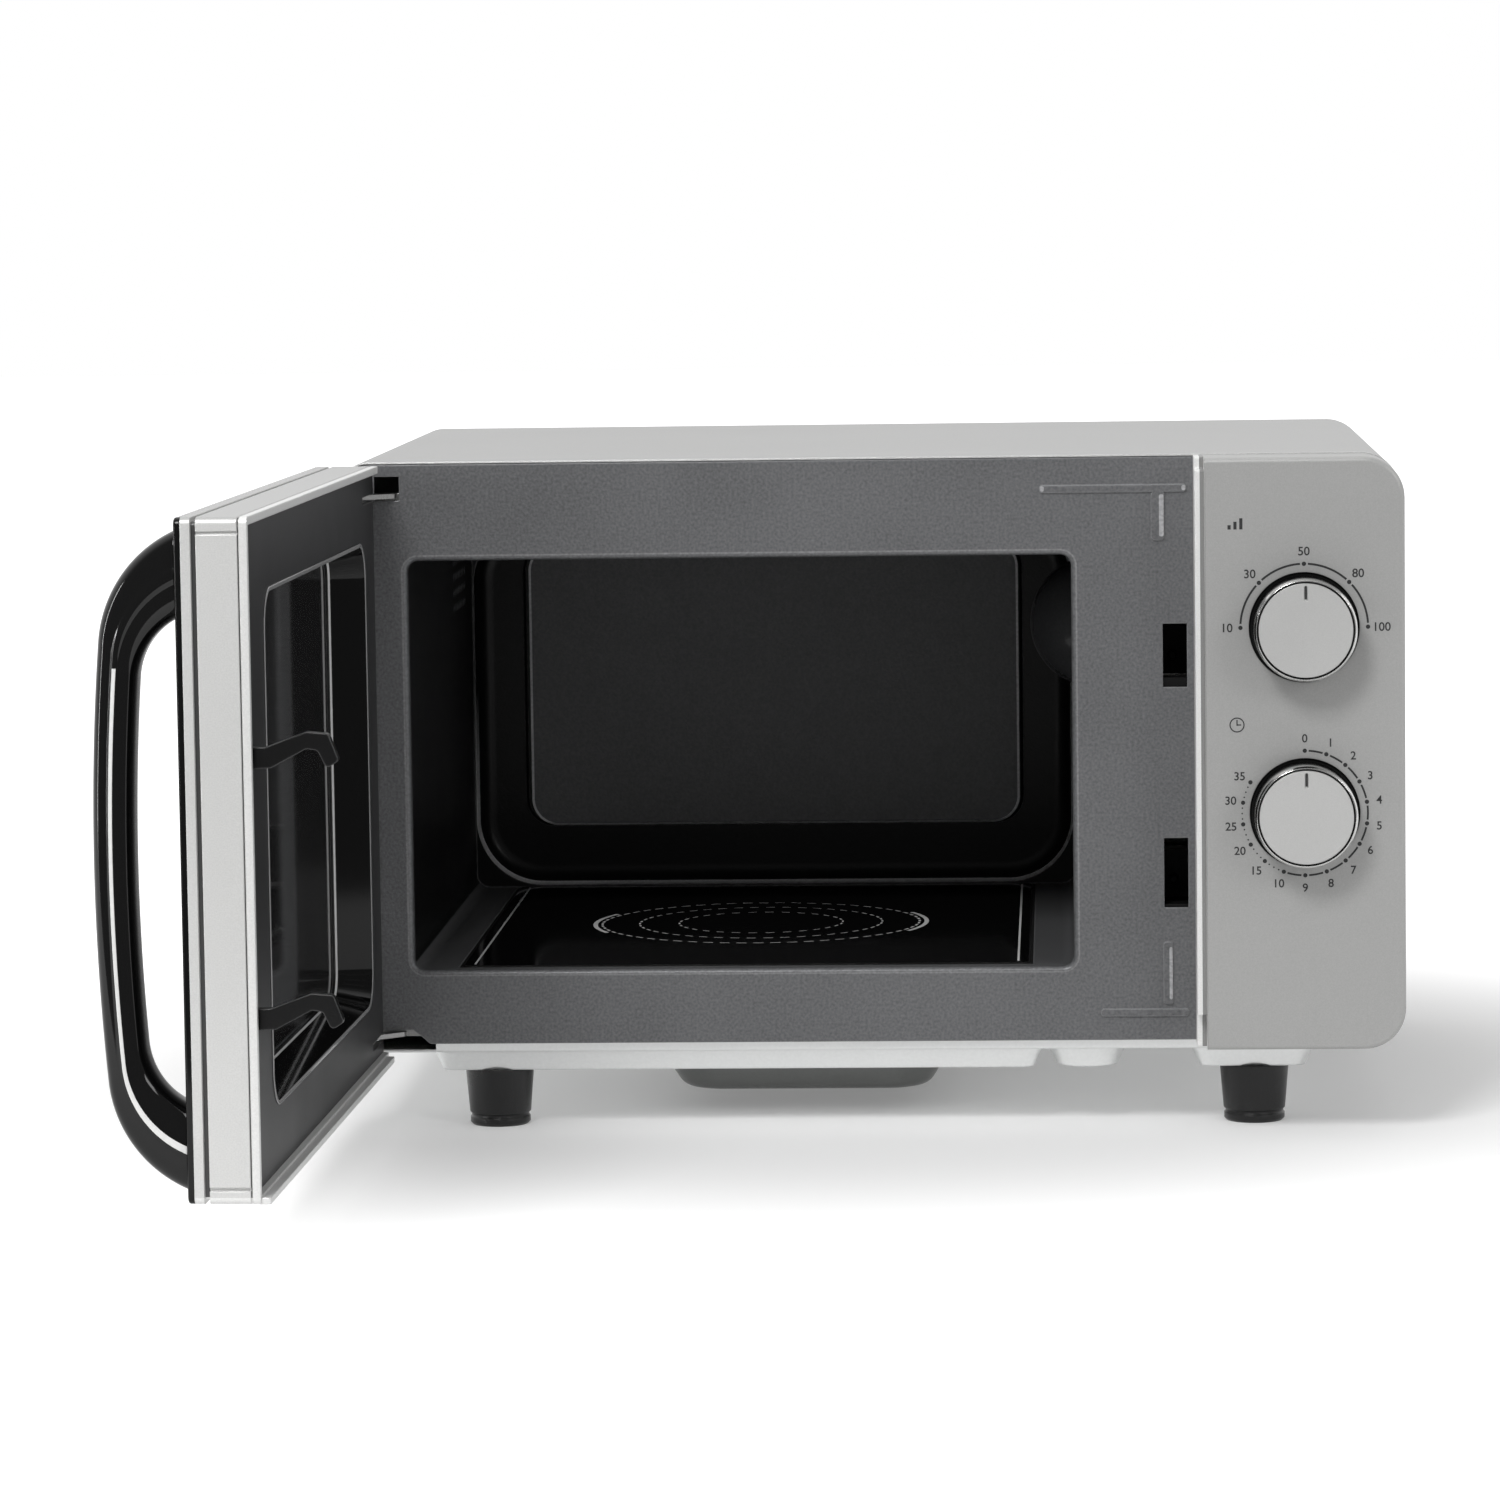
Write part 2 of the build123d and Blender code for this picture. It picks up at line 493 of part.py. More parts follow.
# Waveguide: the flat steel duct from the magnetron to the stirrer
with BuildPart() as waveguide:
    with BuildSketch(Plane.XY.offset(GUIDE_Z0)):
        span(GUIDE_X0, GUIDE_X1, STIRRER_Y - GUIDE_HALF, STIRRER_Y + GUIDE_HALF)
    extrude(amount=WELL_Z - GUIDE_Z0)
    with BuildSketch(Plane.XY.offset(GUIDE_Z0 + SHEET)):
        span(GUIDE_X0 + SHEET, GUIDE_X1 - SHEET, STIRRER_Y - GUIDE_HALF + SHEET,
             STIRRER_Y + GUIDE_HALF - SHEET)
    extrude(amount=WELL_Z - GUIDE_Z0 - 2 * SHEET, mode=Mode.SUBTRACT)
    with BuildSketch(Plane.XY.offset(WELL_Z)):
        with Locations((CAVITY_X, STIRRER_Y), (MAGNETRON_X, STIRRER_Y)):
            Circle(GUIDE_HOLE)
    extrude(amount=-2 * SHEET, mode=Mode.SUBTRACT)
    with BuildSketch(Plane.XY.offset(GUIDE_Z0)):
        with Locations((CAVITY_X, STIRRER_Y)):
            Circle(STIRRER_SHAFT + 1)
    extrude(amount=2 * SHEET, mode=Mode.SUBTRACT)
waveguide.part.label = "waveguide"
export_step(waveguide.part, "parts/waveguide.step")

# Stirrer motor, hung under the waveguide in the base's well
with BuildPart() as stirrer_motor:
    with BuildSketch(Plane.XY.offset(GUIDE_Z0)):
        with Locations((CAVITY_X, STIRRER_Y)):
            Circle(MOTOR_RADIUS)
            Rectangle(2 * MOTOR_RADIUS + 14, 8)
    extrude(amount=-SHEET)
    with BuildSketch(Plane.XY.offset(GUIDE_Z0 - SHEET)):
        with Locations((CAVITY_X, STIRRER_Y)):
            Circle(MOTOR_RADIUS)
    extrude(amount=-MOTOR_HEIGHT)
    with BuildSketch(Plane.XY.offset(GUIDE_Z0)):
        with Locations((CAVITY_X, STIRRER_Y)):
            Circle(STIRRER_SHAFT + RUNNING_FIT)
    extrude(amount=-MOTOR_HEIGHT / 2, mode=Mode.SUBTRACT)
stirrer_motor.part.label = "stirrer_motor"
export_step(stirrer_motor.part, "parts/stirrer_motor.step")

# Stirrer shaft, plastic, from the motor up through the waveguide
with BuildPart() as stirrer_shaft:
    with BuildSketch(Plane.XY.offset(GUIDE_Z0 - MOTOR_HEIGHT / 2 + 0.5)):
        with Locations((CAVITY_X, STIRRER_Y)):
            Circle(STIRRER_SHAFT)
    extrude(amount=STIRRER_Z - 0.5 - (GUIDE_Z0 - MOTOR_HEIGHT / 2))
stirrer_shaft.part.label = "stirrer_shaft"
export_step(stirrer_shaft.part, "parts/stirrer_shaft.step")

# Stirrer: a flat metal rotor with windows cut off-centre
with BuildPart() as stirrer_rotor:
    with BuildSketch(Plane.XY.offset(STIRRER_Z)):
        with Locations((CAVITY_X, STIRRER_Y)):
            Circle(STIRRER_RADIUS)
            with PolarLocations(STIRRER_RADIUS * 0.6, 3):
                SlotOverall(40, 12, rotation=90, mode=Mode.SUBTRACT)
            Rectangle(2, STIRRER_RADIUS, mode=Mode.SUBTRACT)
            Circle(9)
    extrude(amount=1.2)
stirrer_rotor.part.label = "stirrer_rotor"
export_step(stirrer_rotor.part, "parts/stirrer_rotor.step")

# Magnetron: a steel yoke round stacked cooling fins, with its antenna down in the waveguide
with BuildPart() as magnetron:
    with BuildSketch(Plane.XY.offset(WELL_Z)):
        with Locations((MAGNETRON_X, STIRRER_Y)):
            Rectangle(62, 84)
    extrude(amount=2)
    with BuildSketch(Plane.XY.offset(WELL_Z + 2)):
        with Locations((MAGNETRON_X, STIRRER_Y)):
            Rectangle(62, 70)
    extrude(amount=55)
    with BuildSketch(Plane.XZ.offset(-STIRRER_Y)):
        span(MAGNETRON_X - 29, MAGNETRON_X + 29, WELL_Z + 5, WELL_Z + 54)
    extrude(amount=40, both=True, mode=Mode.SUBTRACT)
    with BuildSketch(Plane.XY.offset(WELL_Z + 4)):
        with Locations((MAGNETRON_X, STIRRER_Y)):
            Circle(19)
    extrude(amount=51)
    for step in range(9):
        with BuildSketch(Plane.XY.offset(WELL_Z + 10 + 5 * step)):
            with Locations((MAGNETRON_X, STIRRER_Y)):
                Rectangle(59, 66)
        extrude(amount=0.8)
    with BuildSketch(Plane.XY.offset(WELL_Z)):
        with Locations((MAGNETRON_X, STIRRER_Y)):
            Circle(8)
    extrude(amount=-12)
magnetron.part.label = "magnetron"
export_step(magnetron.part, "parts/magnetron.step")

# Filter box on top of the magnetron, where its heater leads go in
with BuildPart() as filter_box:
    with BuildSketch(Plane.XY.offset(WELL_Z + 57)):
        with Locations((MAGNETRON_X, STIRRER_Y)):
            RectangleRounded(50, 46, 4)
    extrude(amount=26)
    fillet(filter_box.faces().sort_by(Axis.Z)[-1].edges(), 2)
    with BuildSketch(Plane.XZ.offset(-STIRRER_Y + 23)):
        with Locations((MAGNETRON_X, WELL_Z + 70)):
            RectangleRounded(20, 12, 2)
    extrude(amount=6)
filter_box.part.label = "filter_box"
export_step(filter_box.part, "parts/filter_box.step")

# Transformer core: a welded stack of steel sheets with two windows, on a foot plate
CORE_X = 134.0
CORE_Y = FACE_Y + 246.0
CORE_Z = BASE_Z + BASE_SHEET
with BuildPart() as transformer_core:
    with BuildSketch(Plane.XY.offset(CORE_Z)):
        with Locations((CORE_X, CORE_Y)):
            Rectangle(104, 70)
    extrude(amount=2)
    with BuildSketch(Plane.XZ.offset(-CORE_Y)):
        span(CORE_X - 44, CORE_X + 44, CORE_Z + 2, CORE_Z + 70)
        span(CORE_X - 30, CORE_X - 13, CORE_Z + 16, CORE_Z + 56, mode=Mode.SUBTRACT)
        span(CORE_X + 13, CORE_X + 30, CORE_Z + 16, CORE_Z + 56, mode=Mode.SUBTRACT)
    extrude(amount=26, both=True)
transformer_core.part.label = "transformer_core"
export_step(transformer_core.part, "parts/transformer_core.step")

# Transformer windings: a low and a high coil round the core's middle limb
with BuildPart() as transformer_coils:
    for low, high, reach in ((16.5, 30, 43), (32, 55.5, 46)):
        with BuildSketch(Plane.XY.offset(CORE_Z + low)):
            with Locations((CORE_X, CORE_Y)):
                RectangleRounded(59, 2 * reach, 9)
                Rectangle(26.4, 52.4, mode=Mode.SUBTRACT)
        extrude(amount=high - low)
transformer_coils.part.label = "transformer_coils"
export_step(transformer_coils.part, "parts/transformer_coils.step")

# High-voltage capacitor: an oval can lying on the base behind the front plate
CAN_X = 132.0
CAN_Y = FACE_Y + 66.0
CAN_Z = BASE_Z + BASE_SHEET + 17.5
with BuildPart() as capacitor:
    with BuildSketch(Plane.XZ.offset(-CAN_Y + 38)):
        with Locations((CAN_X, CAN_Z)):
            SlotOverall(54, 33)
    extrude(amount=-76)
    fillet(capacitor.faces().filter_by(Axis.Y).edges(), 2)
    with BuildSketch(Plane.XZ.offset(-CAN_Y + 38)):
        with Locations((CAN_X - 12, CAN_Z), (CAN_X + 12, CAN_Z)):
            Rectangle(6, 0.8)
    extrude(amount=9)
capacitor.part.label = "capacitor"
export_step(capacitor.part, "parts/capacitor.step")

# Steel strap that clamps the capacitor to the base
with BuildPart() as capacitor_clamp:
    with BuildSketch(Plane.XZ.offset(-CAN_Y)):
        with Locations((CAN_X, CAN_Z)):
            SlotOverall(56, 35)
            SlotOverall(54, 33, mode=Mode.SUBTRACT)
        span(CAN_X - 40, CAN_X - 6, CAN_Z - 17.5, CAN_Z - 16.5)
    extrude(amount=9, both=True)
capacitor_clamp.part.label = "capacitor_clamp"
export_step(capacitor_clamp.part, "parts/capacitor_clamp.step")

# Fan shroud: a square plastic frame with a round throat and arms for the motor
SHROUD_Y = BACK_Y - SHEET - 16.0
with BuildPart() as fan_shroud:
    with BuildSketch(Plane.XZ.offset(-SHROUD_Y)):
        with Locations((FAN_X, FAN_Z)):
            RectangleRounded(106, 106, 5)
            Circle(FAN_RADIUS + 2, mode=Mode.SUBTRACT)
    extrude(amount=-15)
    with BuildSketch(Plane.XZ.offset(-SHROUD_Y)):
        with Locations((FAN_X, FAN_Z)):
            Rectangle(102.4, 9)
            Rectangle(9, 102.4)
            Circle(12)
            Circle(3, mode=Mode.SUBTRACT)
    extrude(amount=3)
fan_shroud.part.label = "fan_shroud"
export_step(fan_shroud.part, "parts/fan_shroud.step")

# Fan motor: a shaded-pole motor with its sheet core and coil
with BuildPart() as fan_motor:
    with BuildSketch(Plane.XZ.offset(-SHROUD_Y + 3)):
        with Locations((FAN_X, FAN_Z)):
            RectangleRounded(48, 58, 3)
    extrude(amount=18)
    with BuildSketch(Plane.XZ.offset(-SHROUD_Y + 3)):
        with Locations((FAN_X, FAN_Z - 16)):
            RectangleRounded(34, 22, 4)
    extrude(amount=27)
    with BuildSketch(Plane.XZ.offset(-SHROUD_Y + 3)):
        with Locations((FAN_X, FAN_Z)):
            Circle(2 + RUNNING_FIT)
    extrude(amount=16, mode=Mode.SUBTRACT)
fan_motor.part.label = "fan_motor"
export_step(fan_motor.part, "parts/fan_motor.step")

# Fan rotor: five pitched blades on a hub, with the motor's shaft
with BuildPart() as fan_rotor:
    with BuildSketch(Plane.XZ.offset(-SHROUD_Y - 2)):
        with Locations((FAN_X, FAN_Z)):
            Circle(10)
    extrude(amount=-11)
    with BuildSketch(Plane.XZ.offset(-SHROUD_Y - 2)):
        with Locations((FAN_X, FAN_Z)):
            Circle(2)
    extrude(amount=20)
    for turn in range(5):
        spoke = Vector(cos(radians(72 * turn)), 0, sin(radians(72 * turn)))
        with BuildSketch(Plane(origin=(FAN_X, SHROUD_Y + 7.5, FAN_Z), x_dir=(0, 1, 0), z_dir=spoke)):
            Rectangle(11, 1.2, rotation=40)
        extrude(amount=FAN_RADIUS - 1)
fan_rotor.part.label = "fan_rotor"
export_step(fan_rotor.part, "parts/fan_rotor.step")

# Air duct from the fan forward over the magnetron
with BuildPart() as air_duct:
    with BuildSketch(Plane.XZ.offset(-SHROUD_Y)):
        with Locations((FAN_X, FAN_Z)):
            RectangleRounded(106, 106, 5)
            RectangleRounded(102.8, 102.8, 4, mode=Mode.SUBTRACT)
    extrude(amount=88)
air_duct.part.label = "air_duct"
export_step(air_duct.part, "parts/air_duct.step")

# Lamp cover: a shallow dome on the right wall, clipped into the hole by its collar
WALL_X = OPEN_X1 - SHEET
LAMP_PLANE = Plane(origin=(0, LAMP_Y, LAMP_Z), x_dir=(1, 0, 0), z_dir=(0, -1, 0))
LAMP_AXIS = Axis((0, LAMP_Y, LAMP_Z), (1, 0, 0))
DOME_RADIUS = (LAMP_RIM**2 + LAMP_DOME**2) / (2 * LAMP_DOME)
with BuildPart(Plane.YZ.offset(WALL_X - LAMP_DOME + DOME_RADIUS)) as lamp_cover:
    with Locations((LAMP_Y, LAMP_Z)):
        Sphere(DOME_RADIUS)
        Sphere(DOME_RADIUS - 1.6, mode=Mode.SUBTRACT)
    split(bisect_by=Plane.YZ.offset(WALL_X), keep=Keep.BOTTOM)
    with BuildSketch(Plane.YZ.offset(WALL_X)):
        with Locations((LAMP_Y, LAMP_Z)):
            Circle(LAMP_RIM - 1)
            Circle(LAMP_HOLE - 1.8, mode=Mode.SUBTRACT)
    extrude(amount=-1.5)
    with BuildSketch(Plane.YZ.offset(WALL_X)):
        with Locations((LAMP_Y, LAMP_Z)):
            Circle(LAMP_HOLE - 0.2)
            Circle(LAMP_HOLE - 1.8, mode=Mode.SUBTRACT)
    extrude(amount=4)
lamp_cover.part.label = "lamp_cover"
export_step(lamp_cover.part, "parts/lamp_cover.step")

# Lamp bulb: a small clear bulb behind the dome
with BuildPart() as lamp_bulb:
    with BuildSketch(LAMP_PLANE):
        with BuildLine():
            tip = ThreePointArc((WALL_X - 10, 0), (WALL_X - 7, 6), (WALL_X, 9))
            Polyline(tip @ 1, (WALL_X + 8, 9), (WALL_X + 13, 6), (WALL_X + 13, 0), tip @ 0)
        make_face()
    revolve(axis=LAMP_AXIS)
lamp_bulb.part.label = "lamp_bulb"
export_step(lamp_bulb.part, "parts/lamp_bulb.step")

# Lamp holder: the socket box on the outside of the cavity wall
with BuildPart() as lamp_holder:
    with BuildSketch(Plane.YZ.offset(OPEN_X1)):
        with Locations((LAMP_Y, LAMP_Z)):
            RectangleRounded(56, 56, 4)
            Circle(LAMP_HOLE, mode=Mode.SUBTRACT)
    extrude(amount=12)
    with BuildSketch(Plane.YZ.offset(OPEN_X1 + 12)):
        with Locations((LAMP_Y, LAMP_Z)):
            RectangleRounded(44, 44, 3)
    extrude(amount=14)
lamp_holder.part.label = "lamp_holder"
export_step(lamp_holder.part, "parts/lamp_holder.step")

# Timer unit: the clockwork case with a bush for each knob's shaft
UNIT_FRONT = FASCIA_DEPTH - FASCIA_WALL - 2.0
with BuildPart() as timer_unit:
    with BuildSketch(FRONT.offset(UNIT_FRONT)):
        span(KNOB_X - 27, KNOB_X + 27, 108, 236, 4)
    extrude(amount=-44)
    with BuildSketch(FRONT.offset(UNIT_FRONT)):
        span(KNOB_X - 36, KNOB_X + 36, 100, 106)
        span(KNOB_X - 36, KNOB_X + 36, 238, 244)
        span(KNOB_X - 20, KNOB_X + 20, 100, 244)
    extrude(amount=-2)
    with BuildSketch(FRONT.offset(UNIT_FRONT)):
        with Locations((KNOB_X, POWER_Z), (KNOB_X, TIMER_Z)):
            Circle(SHAFT_RADIUS + RUNNING_FIT)
    extrude(amount=-12, mode=Mode.SUBTRACT)
    with BuildSketch(FRONT.offset(UNIT_FRONT - 2)):
        span(KNOB_X - 36, KNOB_X - 33, 100, 106)
        span(KNOB_X + 33, KNOB_X + 36, 100, 106)
        span(KNOB_X - 36, KNOB_X - 33, 238, 244)
        span(KNOB_X + 33, KNOB_X + 36, 238, 244)
    extrude(amount=-(UNIT_FRONT - 2))
timer_unit.part.label = "timer_unit"
export_step(timer_unit.part, "parts/timer_unit.step")

# Timer motor and bell on the back of the clockwork
with BuildPart() as timer_motor:
    with BuildSketch(FRONT.offset(UNIT_FRONT - 44)):
        with Locations((KNOB_X, TIMER_Z)):
            Circle(22)
    extrude(amount=-14)
    fillet(timer_motor.faces().sort_by(Axis.Y)[-1].edges(), 2)
timer_motor.part.label = "timer_motor"
export_step(timer_motor.part, "parts/timer_motor.step")

with BuildPart() as timer_bell:
    with BuildSketch(FRONT.offset(UNIT_FRONT - 44)):
        with Locations((KNOB_X, POWER_Z)):
            Circle(3)
    extrude(amount=-8)
    with BuildSketch(FRONT.offset(UNIT_FRONT - 60)):
        with Locations((KNOB_X, POWER_Z)):
            Circle(14)
    extrude(amount=10, taper=-35)
    with BuildSketch(FRONT.offset(UNIT_FRONT - 50)):
        with Locations((KNOB_X, POWER_Z)):
            Circle(20)
            Circle(4, mode=Mode.SUBTRACT)
    extrude(amount=-8.5, taper=35, mode=Mode.SUBTRACT)
timer_bell.part.label = "timer_bell"
export_step(timer_bell.part, "parts/timer_bell.step")

# Latch board: the plastic plate behind the latch slots, with a ledge under each hook
BOARD_X = 132.2
with BuildPart() as latch_board:
    with BuildSketch(Plane.YZ.offset(BOARD_X)):
        span(FACE_Y + SHEET, FACE_Y + 56, 80, 222, 3)
    extrude(amount=2.8)
    with BuildSketch(FRONT.offset(-SHEET)):
        span(BOARD_X, 144, 80, 222)
    extrude(amount=-3)
    for root in HOOK_ROOTS:
        with BuildSketch(FRONT.offset(-SHEET)):
            span(SLOT_X0 - 0.5, BOARD_X + 0.5, root - 8, root - 0.8)
        extrude(amount=-12)
latch_board.part.label = "latch_board"
export_step(latch_board.part, "parts/latch_board.step")

# Door switches: one snap switch behind each hook
with BuildPart() as door_switches:
    for root in HOOK_ROOTS:
        with BuildSketch(Plane.XY.offset(root - 2)):
            span(SLOT_X0, BOARD_X, SWITCH_Y, SWITCH_Y + 16)
        extrude(amount=20)
        with BuildSketch(Plane.XZ.offset(-SWITCH_Y)):
            with Locations((HOOK_X, root + 6)):
                Circle(PLUNGER_RADIUS + RUNNING_FIT)
        extrude(amount=-6, mode=Mode.SUBTRACT)
door_switches.part.label = "door_switches"
export_step(door_switches.part, "parts/door_switches.step")

# Switch plungers, each pushed in by a hook when the door shuts
for name, root in zip(("upper_switch_plunger", "lower_switch_plunger"), HOOK_ROOTS):
    with BuildPart() as plunger:
        with BuildSketch(Plane.XZ.offset(-PLUNGER_Y)):
            with Locations((HOOK_X, root + 6)):
                Circle(PLUNGER_RADIUS)
        extrude(amount=-9.5)
        fillet(plunger.faces().sort_by(Axis.Y)[0].edges(), 0.8)
    plunger.part.label = name
    export_step(plunger.part, f"parts/{name}.step")

# Mains filter board on posts over the cavity's roof
BOARD_BOX = (5.0, 75.0, FACE_Y + 205.0, FACE_Y + 275.0)
BOARD_Z = OPEN_Z1 + 6.0
with BuildPart() as filter_board:
    x0, x1, y0, y1 = BOARD_BOX
    with BuildSketch(Plane.XY.offset(BOARD_Z)):
        span(x0, x1, y0, y1, 2)
    extrude(amount=1.6)
    with BuildSketch(Plane.XY.offset(OPEN_Z1)):
        with Locations(((x0 + x1) / 2, (y0 + y1) / 2)):
            with GridLocations(60, 60, 2, 2):
                Circle(3)
    extrude(amount=BOARD_Z - OPEN_Z1)
filter_board.part.label = "filter_board"
export_step(filter_board.part, "parts/filter_board.step")

# What stands on the filter board: choke, two capacitors and the fuse in its clips
with BuildPart() as filter_parts:
    with BuildSketch(Plane.XY.offset(BOARD_Z + 1.6)):
        with Locations((24, FACE_Y + 230)):
            Circle(13)
            Circle(6, mode=Mode.SUBTRACT)
    extrude(amount=14)
    with BuildSketch(Plane.XY.offset(BOARD_Z + 1.6)):
        with Locations((54, FACE_Y + 222), (54, FACE_Y + 240)):
            RectangleRounded(26, 9, 1)
    extrude(amount=14)
    with BuildSketch(Plane.XY.offset(BOARD_Z + 1.6)):
        with Locations((40, FACE_Y + 262)):
            RectangleRounded(34, 8, 1.5)
    extrude(amount=8)
filter_parts.part.label = "filter_parts"
export_step(filter_parts.part, "parts/filter_parts.step")

# Thermal cut-outs on the cavity's roof and right wall
with BuildPart() as thermal_cutouts:
    with BuildSketch(Plane.XY.offset(OPEN_Z1)):
        with Locations((-60, FACE_Y + 120)):
            Circle(9)
            Rectangle(34, 7)
    extrude(amount=1.5)
    with BuildSketch(Plane.XY.offset(OPEN_Z1 + 1.5)):
        with Locations((-60, FACE_Y + 120)):
            Circle(8)
    extrude(amount=9)
    with BuildSketch(Plane.YZ.offset(OPEN_X1)):
        with Locations((FACE_Y + 70, 150)):
            Circle(9)
            Rectangle(7, 34)
    extrude(amount=1.5)
    with BuildSketch(Plane.YZ.offset(OPEN_X1 + 1.5)):
        with Locations((FACE_Y + 70, 150)):
            Circle(8)
    extrude(amount=9)
thermal_cutouts.part.label = "thermal_cutouts"
export_step(thermal_cutouts.part, "parts/thermal_cutouts.step")

# Hinges: steel straps through the front plate, each with a pin for the door to turn on
STRAP_ROOT = Vector(-199.0, FACE_Y + SHEET, 0)
for name, level, pin, lug in (
    ("hinge_upper", HINGE_TOP_Z, 9.5, -16.0),
    ("hinge_lower", HINGE_LOW_Z, -6.0, 18.0),
):
    with BuildPart() as hinge:
        run = STRAP_ROOT - HINGE
        middle = (STRAP_ROOT + HINGE) / 2
        with BuildSketch(Plane.XY.offset(level)):
            with Locations((middle.X, middle.Y)):
                SlotCenterToCenter(run.length, 6, rotation=degrees(atan2(run.Y, run.X)))
        extrude(amount=HINGE_STRAP)
        with BuildSketch(FRONT.offset(-SHEET)):
            span(-206, -186, min(level, level + lug), max(level + HINGE_STRAP, level + lug))
        extrude(amount=-1.5)
        with BuildSketch(FRONT.offset(-SHEET)):
            span(-206, -186, level, level + HINGE_STRAP)
        extrude(amount=-6)
        with BuildSketch(Plane.XY.offset(level + HINGE_STRAP if pin > 0 else level)):
            with Locations((HINGE_X, HINGE_Y)):
                Circle(PIN_RADIUS)
        extrude(amount=pin)
    hinge.part.label = name
    export_step(hinge.part, f"parts/{name}.step")

# Feet: tapered black posts, hollow from below, each held by a screw up into the base
HEAD_POCKET = 3.2
HEAD_RADIUS = 3.9
for name, x, y in (
    ("foot_front_left", -FOOT_X, -FOOT_Y),
    ("foot_front_right", FOOT_X, -FOOT_Y),
    ("foot_rear_left", -FOOT_X, FOOT_Y),
    ("foot_rear_right", FOOT_X, FOOT_Y),
):
    with BuildPart() as foot:
        with BuildSketch(upright(x, y)):
            with BuildLine():
                Polyline(
                    (RECESS_RADIUS, 0), (FOOT_RADIUS_LOW - 1, 0), (FOOT_RADIUS_LOW, 1),
                    (FOOT_RADIUS_LOW, 3.2), (FOOT_RADIUS_LOW - 0.6, 3.8), (FOOT_RADIUS_LOW - 0.6, 4.6),
                    (FOOT_RADIUS_LOW + 0.2, 5.4), (FOOT_RADIUS_TOP, FOOT_HEIGHT),
                    (SCREW_RADIUS + 0.1, FOOT_HEIGHT), (SCREW_RADIUS + 0.1, RECESS_DEPTH + HEAD_POCKET),
                    (HEAD_RADIUS + 0.3, RECESS_DEPTH + HEAD_POCKET), (HEAD_RADIUS + 0.3, RECESS_DEPTH),
                    (RECESS_RADIUS, RECESS_DEPTH), close=True,
                )
            make_face()
        revolve(axis=Axis((x, y, 0), (0, 0, 1)))
    foot.part.label = name
    export_step(foot.part, f"parts/{name}.step")

# Foot screws, up through the feet into the base
with BuildPart() as foot_screws:
    with BuildSketch(Plane.XY.offset(RECESS_DEPTH + HEAD_POCKET)):
        with GridLocations(2 * FOOT_X, 2 * FOOT_Y, 2, 2):
            Circle(HEAD_RADIUS)
    extrude(amount=-HEAD_POCKET + 0.4)
    with BuildSketch(Plane.XY.offset(RECESS_DEPTH + HEAD_POCKET)):
        with GridLocations(2 * FOOT_X, 2 * FOOT_Y, 2, 2):
            Circle(SCREW_RADIUS)
    extrude(amount=13)
foot_screws.part.label = "foot_screws"
export_step(foot_screws.part, "parts/foot_screws.step")

# Back screws, through the back panel into the cover's rear flange
with BuildPart() as back_screws:
    with BuildSketch(FRONT.offset(-DEPTH)):
        with Locations(*BACK_SCREW_SPOTS):
            Circle(HEAD_RADIUS)
    extrude(amount=-2.2)
    fillet(back_screws.faces().sort_by(Axis.Y)[-1].edges(), 0.9)
    with BuildSketch(FRONT.offset(-DEPTH)):
        with Locations(*BACK_SCREW_SPOTS):
            Circle(SCREW_RADIUS)
    extrude(amount=8)
back_screws.part.label = "back_screws"
export_step(back_screws.part, "parts/back_screws.step")

# Cord gland: the plastic bush in the back panel where a supply cord would come in
with BuildPart() as cord_gland:
    with BuildSketch(FRONT.offset(-DEPTH)):
        with Locations(GLAND_SPOT):
            Circle(GLAND_RADIUS + 3)
    extrude(amount=-3.5)
    fillet(cord_gland.faces().sort_by(Axis.Y)[-1].edges(), 1.2)
    with BuildSketch(FRONT.offset(-DEPTH)):
        with Locations(GLAND_SPOT):
            Circle(GLAND_RADIUS)
    extrude(amount=8)
    with BuildSketch(FRONT.offset(-DEPTH - 5)):
        with Locations(GLAND_SPOT):
            Circle(3.8)
    extrude(amount=20, mode=Mode.SUBTRACT)
cord_gland.part.label = "cord_gland"
export_step(cord_gland.part, "parts/cord_gland.step")

